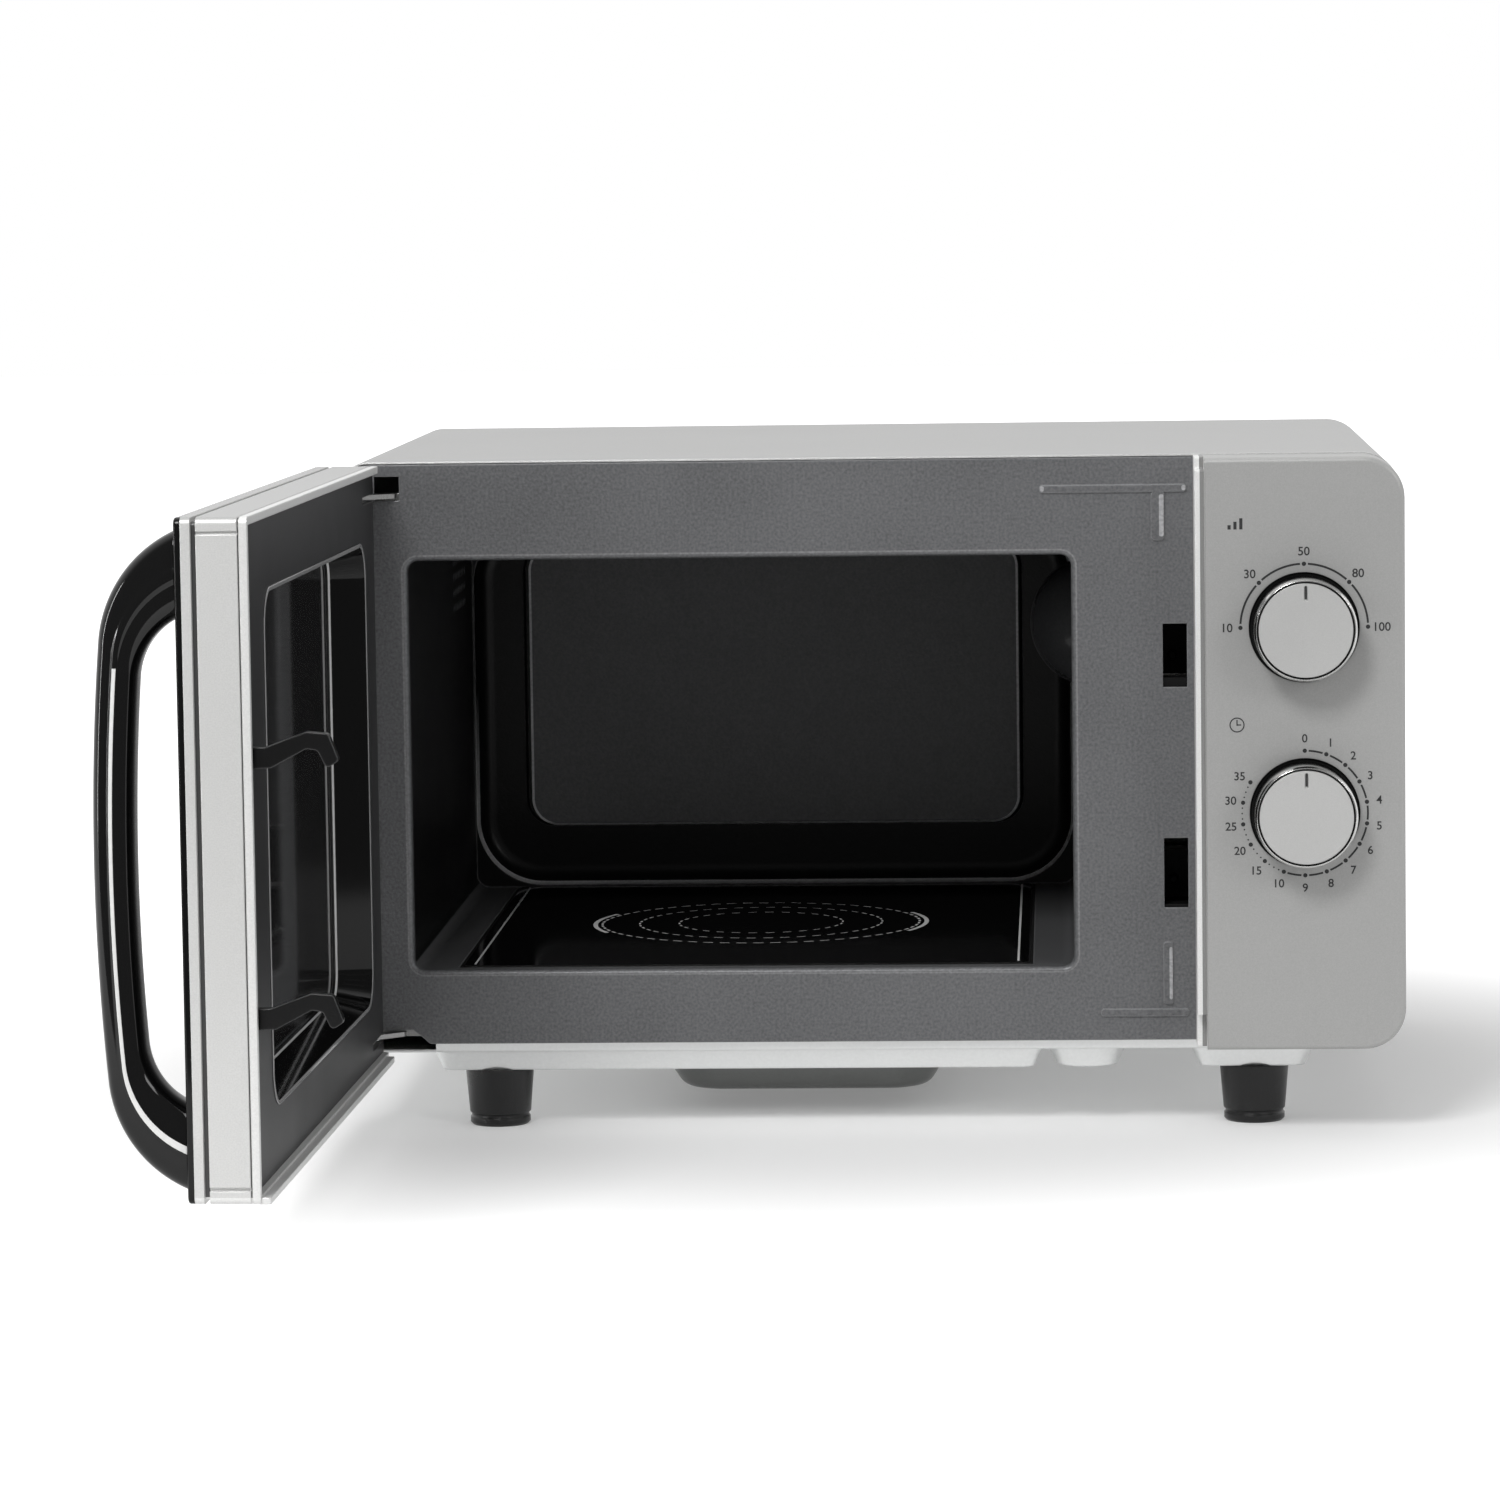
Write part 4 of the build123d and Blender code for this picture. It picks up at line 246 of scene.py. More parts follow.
def box_distance(tree, across, upward, low, high, corner):
    """How far a place lies outside a flat rounded box: the length of the part beyond the corner's
    centre, or the larger overhang where that is nothing, less the corner's radius."""
    over = []
    for place, start, stop in ((across, low[0], high[0]), (upward, low[1], high[1])):
        from_middle = away(tree, place, (start + stop) / 2)
        over.append(sum_node(tree, "SUBTRACT", from_middle, (stop - start) / 2 - corner))
    squares = [sum_node(tree, "POWER", sum_node(tree, "MAXIMUM", part, 0.0), 2.0) for part in over]
    outside = sum_node(tree, "SQRT", sum_node(tree, "ADD", *squares))
    inside = sum_node(tree, "MINIMUM", sum_node(tree, "MAXIMUM", *over), 0.0)
    return sum_node(tree, "SUBTRACT", sum_node(tree, "ADD", outside, inside), corner)


raised_low, raised_high, raised_round = (-0.1680, 0.0956), (0.0600, 0.2280), 0.013
draw_low, draw_high, draw_round = (-0.1925, 0.0695), (0.0841, 0.2401), 0.030
raised_line, raised_inset, draw_line = (-0.0014, -0.0003), -0.001, (-0.0006, 0.0005)
back_wall, room_facing = 0.125, 0.6
ring_lit_top, ring_fade = 0.16, 20.0
floor_lit_grey, right_wall_lit_grey, draw_ring_shade = (0.11, 0.111, 0.115), (0.1, 0.101, 0.105), (0.008, 0.008, 0.0084)
raised_lit_grey, edge_highlight = (0.19, 0.191, 0.197), (0.8, 0.8, 0.81)
room_enamel = finish("room_enamel", (0.005, 0.005, 0.0052), 0.32, grain=900.0, tint=0.3, clouds=0.07,
                     cloud=9.0, relief=0.00008, edge=0.0011, worn_and_lit=(0.3, 0.3, 0.31), specular=0.25)
room_tree = room_enamel.node_tree
room_face = axes(room_tree, "Normal")
room_at = axes(room_tree, "Object")
raised_edge = box_distance(room_tree, room_at["X"], room_at["Z"], raised_low, raised_high, raised_round)
draw_edge = box_distance(room_tree, room_at["X"], room_at["Z"], draw_low, draw_high, draw_round)
room_far = beyond(room_tree, room_at["Y"], back_wall)
# Painted light: the floor and the right wall, which face the light, are painted lighter.
tint_where(room_enamel, beyond(room_tree, room_face["Z"], room_facing), floor_lit_grey)
tint_where(room_enamel, below(room_tree, room_face["X"], -room_facing), right_wall_lit_grey)
# Painted shade on the sunk ring round the back panel, and painted light on the raised panel.
tint_where(room_enamel, both(room_tree, room_far, below(room_tree, draw_edge, 0.0)), draw_ring_shade)
tint_where(room_enamel, both(room_tree, room_far, below(room_tree, raised_edge, raised_inset)), raised_lit_grey)
# Painted highlight lines along the raised panel's edge and the drawn edge; the drawn edge's line fades out
# towards the top at the left.
ring_lit_low = sum_node(room_tree, "MULTIPLY_ADD", room_at["Z"], -ring_fade, ring_fade * ring_lit_top)
ring_lit_part = sum_node(room_tree, "MAXIMUM", beyond(room_tree, room_at["X"], 0.0), ring_lit_low)
ring_highlight = both(room_tree, within(room_tree, draw_edge, *draw_line), ring_lit_part)
for highlight_line in (within(room_tree, raised_edge, *raised_line), ring_highlight):
    tint_where(room_enamel, both(room_tree, room_far, highlight_line), edge_highlight)
dress(room_enamel, "cavity_liner")

# Front plate: the sheet round the mouth, with the latch slots, hinge slots and stiffening ribs
# pressed in. It has the same enamel, in a lighter blue-grey with a fine metallic fleck. A thin
# line round the mouth and patches on the ribs are painted highlights.
mouth_low, mouth_high, mouth_round = (-0.1945, 0.0657), (0.0861, 0.2421), 0.007
rib_glints = (((0.1203, 0.2470), (0.1222, 0.2645)), ((0.0712, 0.2660), (0.0729, 0.2682)),
              ((0.1296, 0.2660), (0.1313, 0.2682)), ((0.1234, 0.0540), (0.1247, 0.0760)))
mouth_highlight_band, rib_round = (-0.0005, 0.0002), 0.0008
plate_enamel = finish("plate_enamel", (0.142, 0.144, 0.149), 0.38, metal=0.25, grain=850.0, tint=0.55,
                      clouds=0.05, relief=0.00012, edge=0.0009, worn_and_lit=(0.34, 0.34, 0.35))
plate_tree = plate_enamel.node_tree
plate_at = axes(plate_tree, "Object")
mouth_edge = box_distance(plate_tree, plate_at["X"], plate_at["Z"], mouth_low, mouth_high, mouth_round)
# Painted highlight: a thin light line round the mouth's edge.
tint_where(plate_enamel, within(plate_tree, mouth_edge, *mouth_highlight_band), (0.22, 0.22, 0.225))
# Painted highlights: light patches on parts of the ribs.
for low, high in rib_glints:
    rib_glint_edge = box_distance(plate_tree, plate_at["X"], plate_at["Z"], low, high, rib_round)
    tint_where(plate_enamel, below(plate_tree, rib_glint_edge, 0.0), (0.4, 0.4, 0.41))
dress(plate_enamel, "front_plate")


# Oven floor: a black glass-ceramic plate, ground flat, with a printed border and plain dashed
# rings fired into the top. A black silicone bead glues it over the stirrer well.
def band_strip(middle, inner, outer, start, stop, steps):
    """A flat band between two radii round a middle: radius over one parameter, turn over the
    other, as flat points and quads that go round anticlockwise."""
    turn, reach = np.meshgrid(np.radians(np.linspace(start, stop, steps + 1)), (inner, outer), indexing="ij")
    flat = np.stack((middle[0] + reach * np.cos(turn), middle[1] + reach * np.sin(turn)), -1).reshape(-1, 2)
    at = np.arange(steps) * 2
    return flat, np.stack((at, at + 1, at + 3, at + 2), -1)


def bar_strip(start, stop, width):
    """A flat bar from start to stop: along it over one parameter, across it over the other."""
    start, stop = np.array(start), np.array(stop)
    along = (stop - start) / np.linalg.norm(stop - start)
    across = np.array((-along[1], along[0])) * width / 2
    return np.array((start - across, stop - across, stop + across, start + across)), np.array(((0, 1, 2, 3),))


def print_piece(name, strips, place, material, body):
    """One mesh of printed ink from flat strips. place lifts flat points onto the surface."""
    points, faces, count = [], [], 0
    for flat, quads in strips:
        points.append(flat)
        faces += [[int(corner) + count for corner in quad] for quad in quads]
        count += len(flat)
    mesh = bpy.data.meshes.new(name)
    mesh.from_pydata(place(np.concatenate(points)).tolist(), [], faces)
    mesh.materials.append(material)
    piece = bpy.data.objects.new(name, mesh)
    bpy.context.scene.collection.objects.link(piece)
    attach(piece, body)


floor_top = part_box("ceramic_plate")[1][2]
ink_lift = 0.00004
border_left, border_right, border_front, border_back, border_wide = -0.1680, 0.0605, -0.1320, 0.1350, 0.0009
rings_middle = (-0.0540, 0.0015)
dashed_rings = ((0.0696, 0.0706, 60, 0.6), (0.0532, 0.0540, 46, 0.55), (0.0358, 0.0365, 30, 0.5))
arc_inner, arc_outer, arc_half = 0.0722, 0.0742, 26
ring_strips = []
for inner, outer, dashes, share in dashed_rings:
    step = 360 / dashes
    ring_strips += [band_strip(rings_middle, inner, outer, n * step, (n + share) * step, 3)
                    for n in range(dashes)]
for side in (0, 180):
    ring_strips.append(band_strip(rings_middle, arc_inner, arc_outer, side - arc_half, side + arc_half, 24))
for side in (border_left, border_right):
    ring_strips.append(bar_strip((side, border_front), (side, border_back), border_wide))
dress(finish("floor_ceramic", (0.002, 0.002, 0.0022), 0.08, grain=400.0, tint=0.1, clouds=0.03, cloud=12.0,
             relief=0.0, edge=0.0006, worn_and_lit=(0.2, 0.2, 0.2), specular=0.03), "ceramic_plate")
dress(finish("seal_silicone", (0.012, 0.012, 0.012), 0.5, grain=600.0, tint=0.2, relief=0.00004),
      "plate_seal")
print_piece("floor_rings", ring_strips,
            lambda flat: np.column_stack((flat, np.full(len(flat), floor_top + ink_lift))),
            finish("fired_white_ink", (0.85, 0.85, 0.84), 0.45, grain=1500.0, tint=0.2),
            "oven_body")


# Microwave feed: a folded sheet-steel guide runs from the magnetron, at the right, to the stirrer
# well under the floor, where a pressed aluminium paddle turns on a small geared motor. Other
# hidden pieces of the same sheet, aluminium and bare steel are dressed with it.
def bare_steel(name):
    """Ground and lightly oiled steel."""
    return finish(name, (0.6, 0.6, 0.59), 0.24, metal=1.0, grain=900.0, tint=0.08)


dress(finish("galvanised_sheet", (0.5, 0.51, 0.5), 0.36, metal=1.0, grain=90.0, tint=0.12, clouds=0.12,
             cloud=60.0, relief=0.0),
      "waveguide", "stirrer_well", "filter_box", "capacitor_clamp", "thermal_cutouts", "door_choke")
dress(finish("pressed_aluminium", (0.72, 0.72, 0.71), 0.3, metal=1.0, grain=500.0, tint=0.07, clouds=0.1,
             cloud=40.0), "stirrer_rotor", "magnetron", "capacitor", "fan_rotor")
dress(bare_steel("shaft_steel"), "stirrer_shaft", "power_shaft", "timer_shaft", "stirrer_motor", "fan_motor",
      "timer_motor", "timer_bell")

# High-voltage set: a transformer of stacked sheet and enamelled copper, an oil capacitor in its
# clamp and a small filter board, all screwed to the base and the inner wall.
lines, lines_in, lines_out = shader_group(
    "fine_lines", (("Way", "Vector"), ("Turns", "Float")), (("Lines", "Float"),))
lines_dot = lines.nodes.new("ShaderNodeVectorMath")
lines_dot.operation = "DOT_PRODUCT"
lines.links.new(lines.nodes.new("ShaderNodeTexCoord").outputs["Object"], lines_dot.inputs[0])
lines.links.new(lines_in["Way"], lines_dot.inputs[1])
lines_turn = sum_node(lines, "MULTIPLY", lines_dot.outputs["Value"], lines_in["Turns"])
lines_level = sum_node(lines, "MULTIPLY_ADD", sum_node(lines, "SINE", lines_turn), 0.5, 0.5)
lines.links.new(sum_node(lines, "POWER", lines_level, 3.0), lines_out["Lines"])


def lined(material, way, pitch, colour):
    """Rules fine lines of a second colour across one direction, a pitch apart."""
    ruled = material.node_tree.nodes.new("ShaderNodeGroup")
    ruled.node_tree = lines
    ruled.inputs["Way"].default_value = way
    ruled.inputs["Turns"].default_value = 2 * np.pi / pitch
    tint_where(material, ruled.outputs["Lines"], colour)
    return material


core_sheet, coil_wire = 0.0011, 0.0014
dress(lined(finish("stacked_core", (0.16, 0.155, 0.15), 0.5, metal=0.6, grain=1500.0, tint=0.3,
                   relief=0.0001), (1.0, 0.0, 0.0), core_sheet, (0.05, 0.048, 0.045)), "transformer_core")
dress(lined(finish("enamelled_copper", (0.36, 0.12, 0.04), 0.3, metal=0.8, grain=1200.0, tint=0.3,
                   relief=0.0001), (0.0, 0.0, 1.0), coil_wire, (0.09, 0.025, 0.01)), "transformer_coils")
dress(finish("board_lacquer", (0.02, 0.11, 0.05), 0.35, grain=700.0, tint=0.2), "filter_board")
dress(finish("board_parts", (0.08, 0.075, 0.03), 0.4, grain=300.0, tint=0.3), "filter_parts")

# Fan, duct, lamp and switch carriers: white and black moulded plastics, clipped and screwed behind
# the right wall. The lamp shines through a dark moulded dome in the wall.
dress(finish("white_moulding", (0.62, 0.61, 0.57), 0.42, grain=1500.0, tint=0.04, relief=0.00004),
      "fan_shroud", "air_duct", "timer_unit", "lamp_holder")
dress(finish("black_moulding", (0.006, 0.006, 0.0062), 0.5, grain=1500.0, tint=0.2, relief=0.00005,
             specular=0.12),
      "door_switches", "cord_gland", "latch_board", "upper_switch_plunger", "lower_switch_plunger")
dress(finish("dome_plastic", (0.07, 0.071, 0.074), 0.24, grain=900.0, tint=0.2, relief=0.00004, edge=0.0012,
             worn_and_lit=(0.2, 0.2, 0.2)), "lamp_cover")
dress(finish("bulb_glass", (0.75, 0.74, 0.7), 0.12, grain=300.0, tint=0.05), "lamp_bulb")

# Back panel and cover: bent steel sheet. The cover wraps the top and both sides in silver paint
# with a fine fleck, and its back edge is fixed to the plain grey back by four cross-headed screws.
screw_side, screw_middle, screw_half = 0.212, 0.154, 0.096
cross_half, cross_reach = 0.0005, 0.0023
hem_front = -0.1440
dress(finish("back_paint", (0.36, 0.36, 0.36), 0.42, metal=0.4, grain=900.0, tint=0.08), "back_panel")
back_zinc = zinc_plate("back_zinc")
zinc_tree = back_zinc.node_tree
zinc_at = axes(zinc_tree, "Object")
zinc_side = away(zinc_tree, sum_node(zinc_tree, "ABSOLUTE", zinc_at["X"]), screw_side)
zinc_rise = away(zinc_tree, away(zinc_tree, zinc_at["Z"], screw_middle), screw_half)
cross_recess_shade = below(zinc_tree, sum_node(zinc_tree, "MINIMUM", zinc_side, zinc_rise), cross_half)
zinc_near = below(zinc_tree, sum_node(zinc_tree, "MAXIMUM", zinc_side, zinc_rise), cross_reach)
# Painted shade: the screws' cross recesses are painted near black.
tint_where(back_zinc, both(zinc_tree, cross_recess_shade, zinc_near), (0.03, 0.03, 0.03))
dress(back_zinc, "back_screws")
cover_silver = finish("cover_silver", (0.4, 0.4, 0.396), 0.38, metal=0.5, grain=1500.0, tint=0.16,
                      clouds=0.05, cloud=7.0, relief=0.00002, edge=0.0012)
cover_tree = cover_silver.node_tree
cover_hem_highlight = below(cover_tree, axes(cover_tree, "Object")["Y"], hem_front)
# Painted highlight: the cover's front hem is painted a lighter silver.
tint_where(cover_silver, cover_hem_highlight, (0.62, 0.62, 0.615))
dress(cover_silver, "outer_cover")

# Control fascia: a moulded plastic strip in silver paint, clipped to the front plate, with a stepped
# edge beside the door that carries a painted highlight and a thin line of painted shade. Its dial rings,
# dots and plain numbers are screen-printed in dark ink.
fascia_front = -0.1746
knob_x, power_z, timer_z = 0.1788, 0.2109, 0.1345
knob_shade_radius, edge_facing = 0.0226, 0.7
step_lit_edge, step_shade_end = 0.1366, 0.1383
number_swell = 0.00007


def knob_reach(tree):
    """How far a place lies from the nearer knob's axis: both axes are at one X, and their heights
    mirror about the middle between them."""
    place, half = axes(tree, "Object"), (power_z - timer_z) / 2
    rise = sum_node(tree, "SUBTRACT", away(tree, place["Z"], timer_z + half), half)
    side = sum_node(tree, "SUBTRACT", place["X"], knob_x)
    rise_square = sum_node(tree, "MULTIPLY", rise, rise)
    return sum_node(tree, "SQRT", sum_node(tree, "MULTIPLY_ADD", side, side, rise_square))


fascia_silver = finish("fascia_silver", (0.44, 0.44, 0.434), 0.4, metal=0.4, grain=1800.0, tint=0.13,
                       clouds=0.04, cloud=8.0, relief=0.00002, edge=0.0012)
fascia_tree = fascia_silver.node_tree
fascia_face = axes(fascia_tree, "Normal")["X"]
# Painted light: the step's left-facing faces are painted near white.
tint_where(fascia_silver, below(fascia_tree, fascia_face, -edge_facing), (0.85, 0.85, 0.84))
# Painted shade: a black disc on the fascia round the foot of each knob.
tint_where(fascia_silver, below(fascia_tree, knob_reach(fascia_tree), knob_shade_radius), (0.006, 0.006, 0.006))
# Painted shade: a thin dark line along the left edge, and a painted highlight: a near-white strip left of it.
step_place = axes(fascia_tree, "Object")["X"]
tint_where(fascia_silver, within(fascia_tree, step_place, step_lit_edge, step_shade_end), (0.3, 0.3, 0.296))
tint_where(fascia_silver, below(fascia_tree, step_place, step_lit_edge), (0.95, 0.95, 0.94))
dress(fascia_silver, "control_fascia")


def number_strip(words, size, middle):
    """A number set centred on a point: the outlines of its signs, filled, as flat points and faces."""
    outline = bpy.data.curves.new("number", "FONT")
    outline.body, outline.size, outline.resolution_u, outline.offset = words, size, 5, number_swell
    outline.align_x, outline.align_y = "CENTER", "CENTER"
    carrier = bpy.data.objects.new("number", outline)
    bpy.context.scene.collection.objects.link(carrier)
    bpy.context.view_layer.update()
    filled = bpy.data.meshes.new_from_object(carrier)
    flat = np.empty(len(filled.vertices) * 3)
    filled.vertices.foreach_get("co", flat)
    faces = [list(face.vertices) for face in filled.polygons]
    bpy.data.objects.remove(carrier)
    bpy.data.meshes.remove(filled)
    flat = flat.reshape(-1, 3)[:, :2]
    centre = (flat.min(0) + flat.max(0)) / 2
    return flat - centre + np.array(middle), faces


def dial_point(middle_z, reach, hour):
    """The point at a reach from a knob's axis, hour degrees clockwise from its top."""
    return knob_x + reach * sin(radians(hour)), middle_z + reach * cos(radians(hour))


def upright(depth):
    """Lifts flat points onto an upright face at one depth: across becomes X, and upward becomes Z."""
    return lambda flat: np.column_stack((flat[:, 0], np.full(len(flat), depth), flat[:, 1]))


dot_radius, speck_radius, arc_gap = 0.0009, 0.00035, 3.5
power_size, timer_size, third_sign = 0.0050, 0.0048, 0.0008
power_inner, power_outer, power_dots, power_numbers = 0.02560, 0.02645, 0.0260, 0.0312
timer_inner, timer_outer, timer_dots, timer_numbers = 0.02530, 0.02610, 0.0257, 0.0308
eighth, minute = 45, 20
dial_strips = []
for start in range(0, 4 * eighth, eighth):
    dial_strips.append(band_strip((knob_x, power_z), power_inner, power_outer, start + arc_gap,
                                  start + eighth - arc_gap, 20))
for hour, words in ((-90, "10"), (-45, "30"), (0, "50"), (45, "80"), (90, "100")):
    reach = power_numbers + third_sign * (len(words) - 2)
    dial_strips.append(band_strip(dial_point(power_z, power_dots, hour), 0.0, dot_radius, 0, 360, 16))
    dial_strips.append(number_strip(words, power_size, dial_point(power_z, reach, hour)))
minutes = [(minute * n, str(n)) for n in range(11)]
minutes += [(minute * (n + 11), str(15 + 5 * n)) for n in range(5)]
for hour, words in minutes:
    dial_strips.append(band_strip(dial_point(timer_z, timer_dots, hour), 0.0, dot_radius, 0, 360, 14))
    dial_strips.append(number_strip(words, timer_size, dial_point(timer_z, timer_numbers, hour)))
for n in range(10):
    start = 90 - minute * (n + 1)
    dial_strips.append(band_strip((knob_x, timer_z), timer_inner, timer_outer, start + arc_gap,
                                  start + minute - arc_gap, 6))
for n in range(10, 15):
    for step in (5, 10, 15):
        speck = dial_point(timer_z, timer_dots, minute * n + step)
        dial_strips.append(band_strip(speck, 0.0, speck_radius, 0, 360, 8))
bars_x, bars_z, bars_wide = 0.1508, 0.2512, 0.0013
for place, tall in ((-0.0024, 0.0018), (0.0, 0.0032), (0.0024, 0.0046)):
    dial_strips.append(bar_strip((bars_x + place, bars_z), (bars_x + place, bars_z + tall), bars_wide))
clock_x, clock_z, hand_wide = 0.1512, 0.1710, 0.0005
dial_strips.append(band_strip((clock_x, clock_z), 0.0026, 0.0031, 0, 360, 40))
dial_strips.append(bar_strip((clock_x, clock_z - 0.0003), (clock_x, clock_z + 0.0021), hand_wide))
dial_strips.append(bar_strip((clock_x - 0.0002, clock_z), (clock_x + 0.0017, clock_z), hand_wide))
print_piece("dial_print", dial_strips, upright(fascia_front - ink_lift),
            finish("dial_ink", (0.022, 0.022, 0.023), 0.5, grain=2000.0, tint=0.15),
            "oven_body")

# Knobs: moulded, with a chrome-plated skirt and a spun silver disc let into the face. Each pushes
# onto a flatted shaft, and a short dark tick on the disc points at the numbers. Only a ring of the
# skirt next to the face is painted as chrome; the rest is painted black, as painted shade and painted
# dark reflection.
chrome_back, chrome_inner = fascia_front - 0.0125, 0.0199
tick_low, tick_high, tick_wide = 0.0128, 0.0182, 0.0009
skirt_chrome = finish("skirt_chrome", (0.7, 0.7, 0.69), 0.12, grain=600.0, tint=0.05, clouds=0.04, cloud=60.0,
                      relief=0.0, specular=0.1)
skirt = skirt_chrome.node_tree
skirt_ring = both(skirt, below(skirt, axes(skirt, "Object")["Y"], chrome_back),
                  beyond(skirt, knob_reach(skirt), chrome_inner))
# Painted shade and painted dark reflection: the skirt is black and not metallic outside the chrome ring.
tint_where(skirt_chrome, sum_node(skirt, "SUBTRACT", 1.0, skirt_ring), (0.004, 0.004, 0.004))
skirt.links.new(skirt_ring, skirt.nodes["Principled BSDF"].inputs["Metallic"])
dress(skirt_chrome, "power_knob", "timer_knob")
dress(finish("disc_silver", (0.6, 0.6, 0.592), 0.36, metal=0.4, grain=2200.0, tint=0.08, relief=0.00002),
      "power_knob_cap", "timer_knob_cap")
tick_ink = finish("tick_ink", (0.03, 0.03, 0.03), 0.45, grain=2000.0, tint=0.15)
for name, middle_z, body in (("power_tick", power_z, "power_dial"), ("timer_tick", timer_z, "timer_dial")):
    disc_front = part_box(name.replace("tick", "knob_cap"))[0][1]
    print_piece(name, [bar_strip((knob_x, middle_z + tick_low), (knob_x, middle_z + tick_high), tick_wide)],
                upright(disc_front - ink_lift), tick_ink, body)

# Hinges: two stamped steel straps, riveted to the front plate at the left, with a pin each
# that the door turns on.
dress(finish("strap_steel", (0.34, 0.34, 0.335), 0.3, metal=1.0, grain=1100.0, tint=0.1, clouds=0.1,
             cloud=90.0, edge=0.0004), "hinge_upper", "hinge_lower")

# Door: a silver moulded frame carries a black glossy front panel, and a charcoal choke cover with
# a dished window closes its inside. The frame's edge is painted like the fascia, and a screened
# field shows faintly in the front panel, before the window. On the frame, the lip and the bottom
# ledge are painted lighter as painted highlight, and the groove, a thin line and the upward faces
# darker as painted shade.
hinge_line = np.array((-0.2145, -0.1600, 0.0))
door_turn = radians(91.2)
door_along = np.array((cos(door_turn), -sin(door_turn), 0.0))
door_outward = np.array((-sin(door_turn), -cos(door_turn), 0.0))
screen_turns, web_level = 2200.0, 0.5


def door_reach(tree, way):
    """How far a place lies from the hinge line along one of the door's own directions."""
    place = axes(tree, "Object")
    across = sum_node(tree, "MULTIPLY", place["X"], float(way[0]))
    reach = sum_node(tree, "MULTIPLY_ADD", place["Y"], float(way[1]), across)
    return sum_node(tree, "SUBTRACT", reach, float(hinge_line @ way))


def screen_web(tree, across, upward):
    """The web of a pierced screen: one where two crossed sets of slanting waves add up to little,
    and nought in the holes where both are high."""
    rows = []
    for way in ("ADD", "SUBTRACT"):
        slant = sum_node(tree, "MULTIPLY", sum_node(tree, way, across, upward), screen_turns)
        rows.append(sum_node(tree, "SINE", slant))
    return below(tree, sum_node(tree, "ADD", *rows), web_level)


groove_near, groove_far, line_near, line_far = 0.0066, 0.0084, -0.0089, -0.0085
lip_start, ledge_top = -0.0093, 0.0346
field_low, field_high, field_round = (0.0294, 0.0640), (0.2924, 0.2450), 0.012
frame_silver = finish("frame_silver", (0.69, 0.69, 0.68), 0.36, metal=0.3, grain=1800.0, tint=0.12,
                      clouds=0.04, cloud=8.0, edge=0.0007)
frame_tree = frame_silver.node_tree
frame_out = door_reach(frame_tree, door_outward)
frame_groove = within(frame_tree, frame_out, groove_near, groove_far)
frame_line = within(frame_tree, frame_out, line_near, line_far)
frame_face = axes(frame_tree, "Normal")["Z"]
# Painted shade: the frame's upward faces are painted darker.
tint_where(frame_silver, beyond(frame_tree, frame_face, edge_facing), (0.46, 0.46, 0.455))
# Painted highlight: the lip is painted lighter.
tint_where(frame_silver, below(frame_tree, frame_out, lip_start), (0.82, 0.82, 0.81))
# Painted shade: the groove and a thin line beside the lip are painted dark.
tint_where(frame_silver, sum_node(frame_tree, "ADD", frame_groove, frame_line), (0.07, 0.07, 0.07))
# Painted highlight: the bottom ledge is painted lighter.
tint_where(frame_silver, below(frame_tree, axes(frame_tree, "Object")["Z"], ledge_top), (0.85, 0.85, 0.84))
dress(frame_silver, "door_frame")
dress(finish("cover_charcoal", (0.024, 0.024, 0.025), 0.4, grain=1300.0, tint=0.25, relief=0.00006,
             edge=0.0007, worn_and_lit=(0.1, 0.1, 0.1), specular=0.3), "choke_cover")
panel_black = finish("panel_black", (0.003, 0.003, 0.0031), 0.07, grain=400.0, tint=0.1, clouds=0.03,
                     cloud=14.0, relief=0.0, edge=0.0009, specular=0.3)
panel_tree = panel_black.node_tree
panel_along, panel_up = door_reach(panel_tree, door_along), axes(panel_tree, "Object")["Z"]
panel_field = box_distance(panel_tree, panel_along, panel_up, field_low, field_high, field_round)
panel_web = screen_web(panel_tree, panel_along, panel_up)
panel_screen = both(panel_tree, panel_web, below(panel_tree, panel_field, 0.0))
tint_where(panel_black, panel_screen, (0.014, 0.014, 0.0145))
dress(panel_black, "door_panel")

# Window: a black glossy pane over a pierced steel screen, sunk in the choke cover's dish. The
# screen's slanting rows of fine holes show through as a faint pattern, and the dish's rim and
# foot carry painted highlight lines.
foot_near, foot_far, rim_start, pane_facing = 0.0042, 0.0050, -0.0097, 0.99
window_black = finish("window_black", (0.003, 0.003, 0.0031), 0.06, grain=300.0, tint=0.1, clouds=0.02,
                      relief=0.0, edge=0.0007, worn_and_lit=(0.6, 0.6, 0.6), specular=0.25)
screen = window_black.node_tree
screen_at = axes(screen, "Object")
screen_flat = beyond(screen, axes(screen, "Normal")["X"], pane_facing)
pane_web = both(screen, screen_web(screen, screen_at["Y"], screen_at["Z"]), screen_flat)
tint_where(window_black, pane_web, (0.024, 0.024, 0.0245))
screen_out = door_reach(screen, door_outward)
# Painted highlights: a light line along the dish's foot, and a lighter band along its rim.
tint_where(window_black, within(screen, screen_out, foot_near, foot_far), (0.7, 0.7, 0.7))
tint_where(window_black, below(screen, screen_out, rim_start), (0.3, 0.3, 0.3))
dress(window_black, "door_window")

# Handle: a bow moulded in glossy black, thick at its roots, with a fine ridge down the side where
# the mould's halves met. Two screws from inside the door hold its ends. The ridge's lower part is
# painted light grey as a painted highlight.
door_front, bow_reach, bow_thick = 0.0146, 0.0330, 0.0150
bow_low, bow_high, bow_root = 0.0355, 0.2755, 0.0320
bow_near, bow_far = 0.3452, 0.3240
outer_sag, outer_knee, inner_sag, inner_knee = 0.0035, 0.040, 0.0025, 0.022
ridge_start, ridge_highlight_top = 0.34588, 0.226
bow_middle = (bow_low + bow_high) / 2


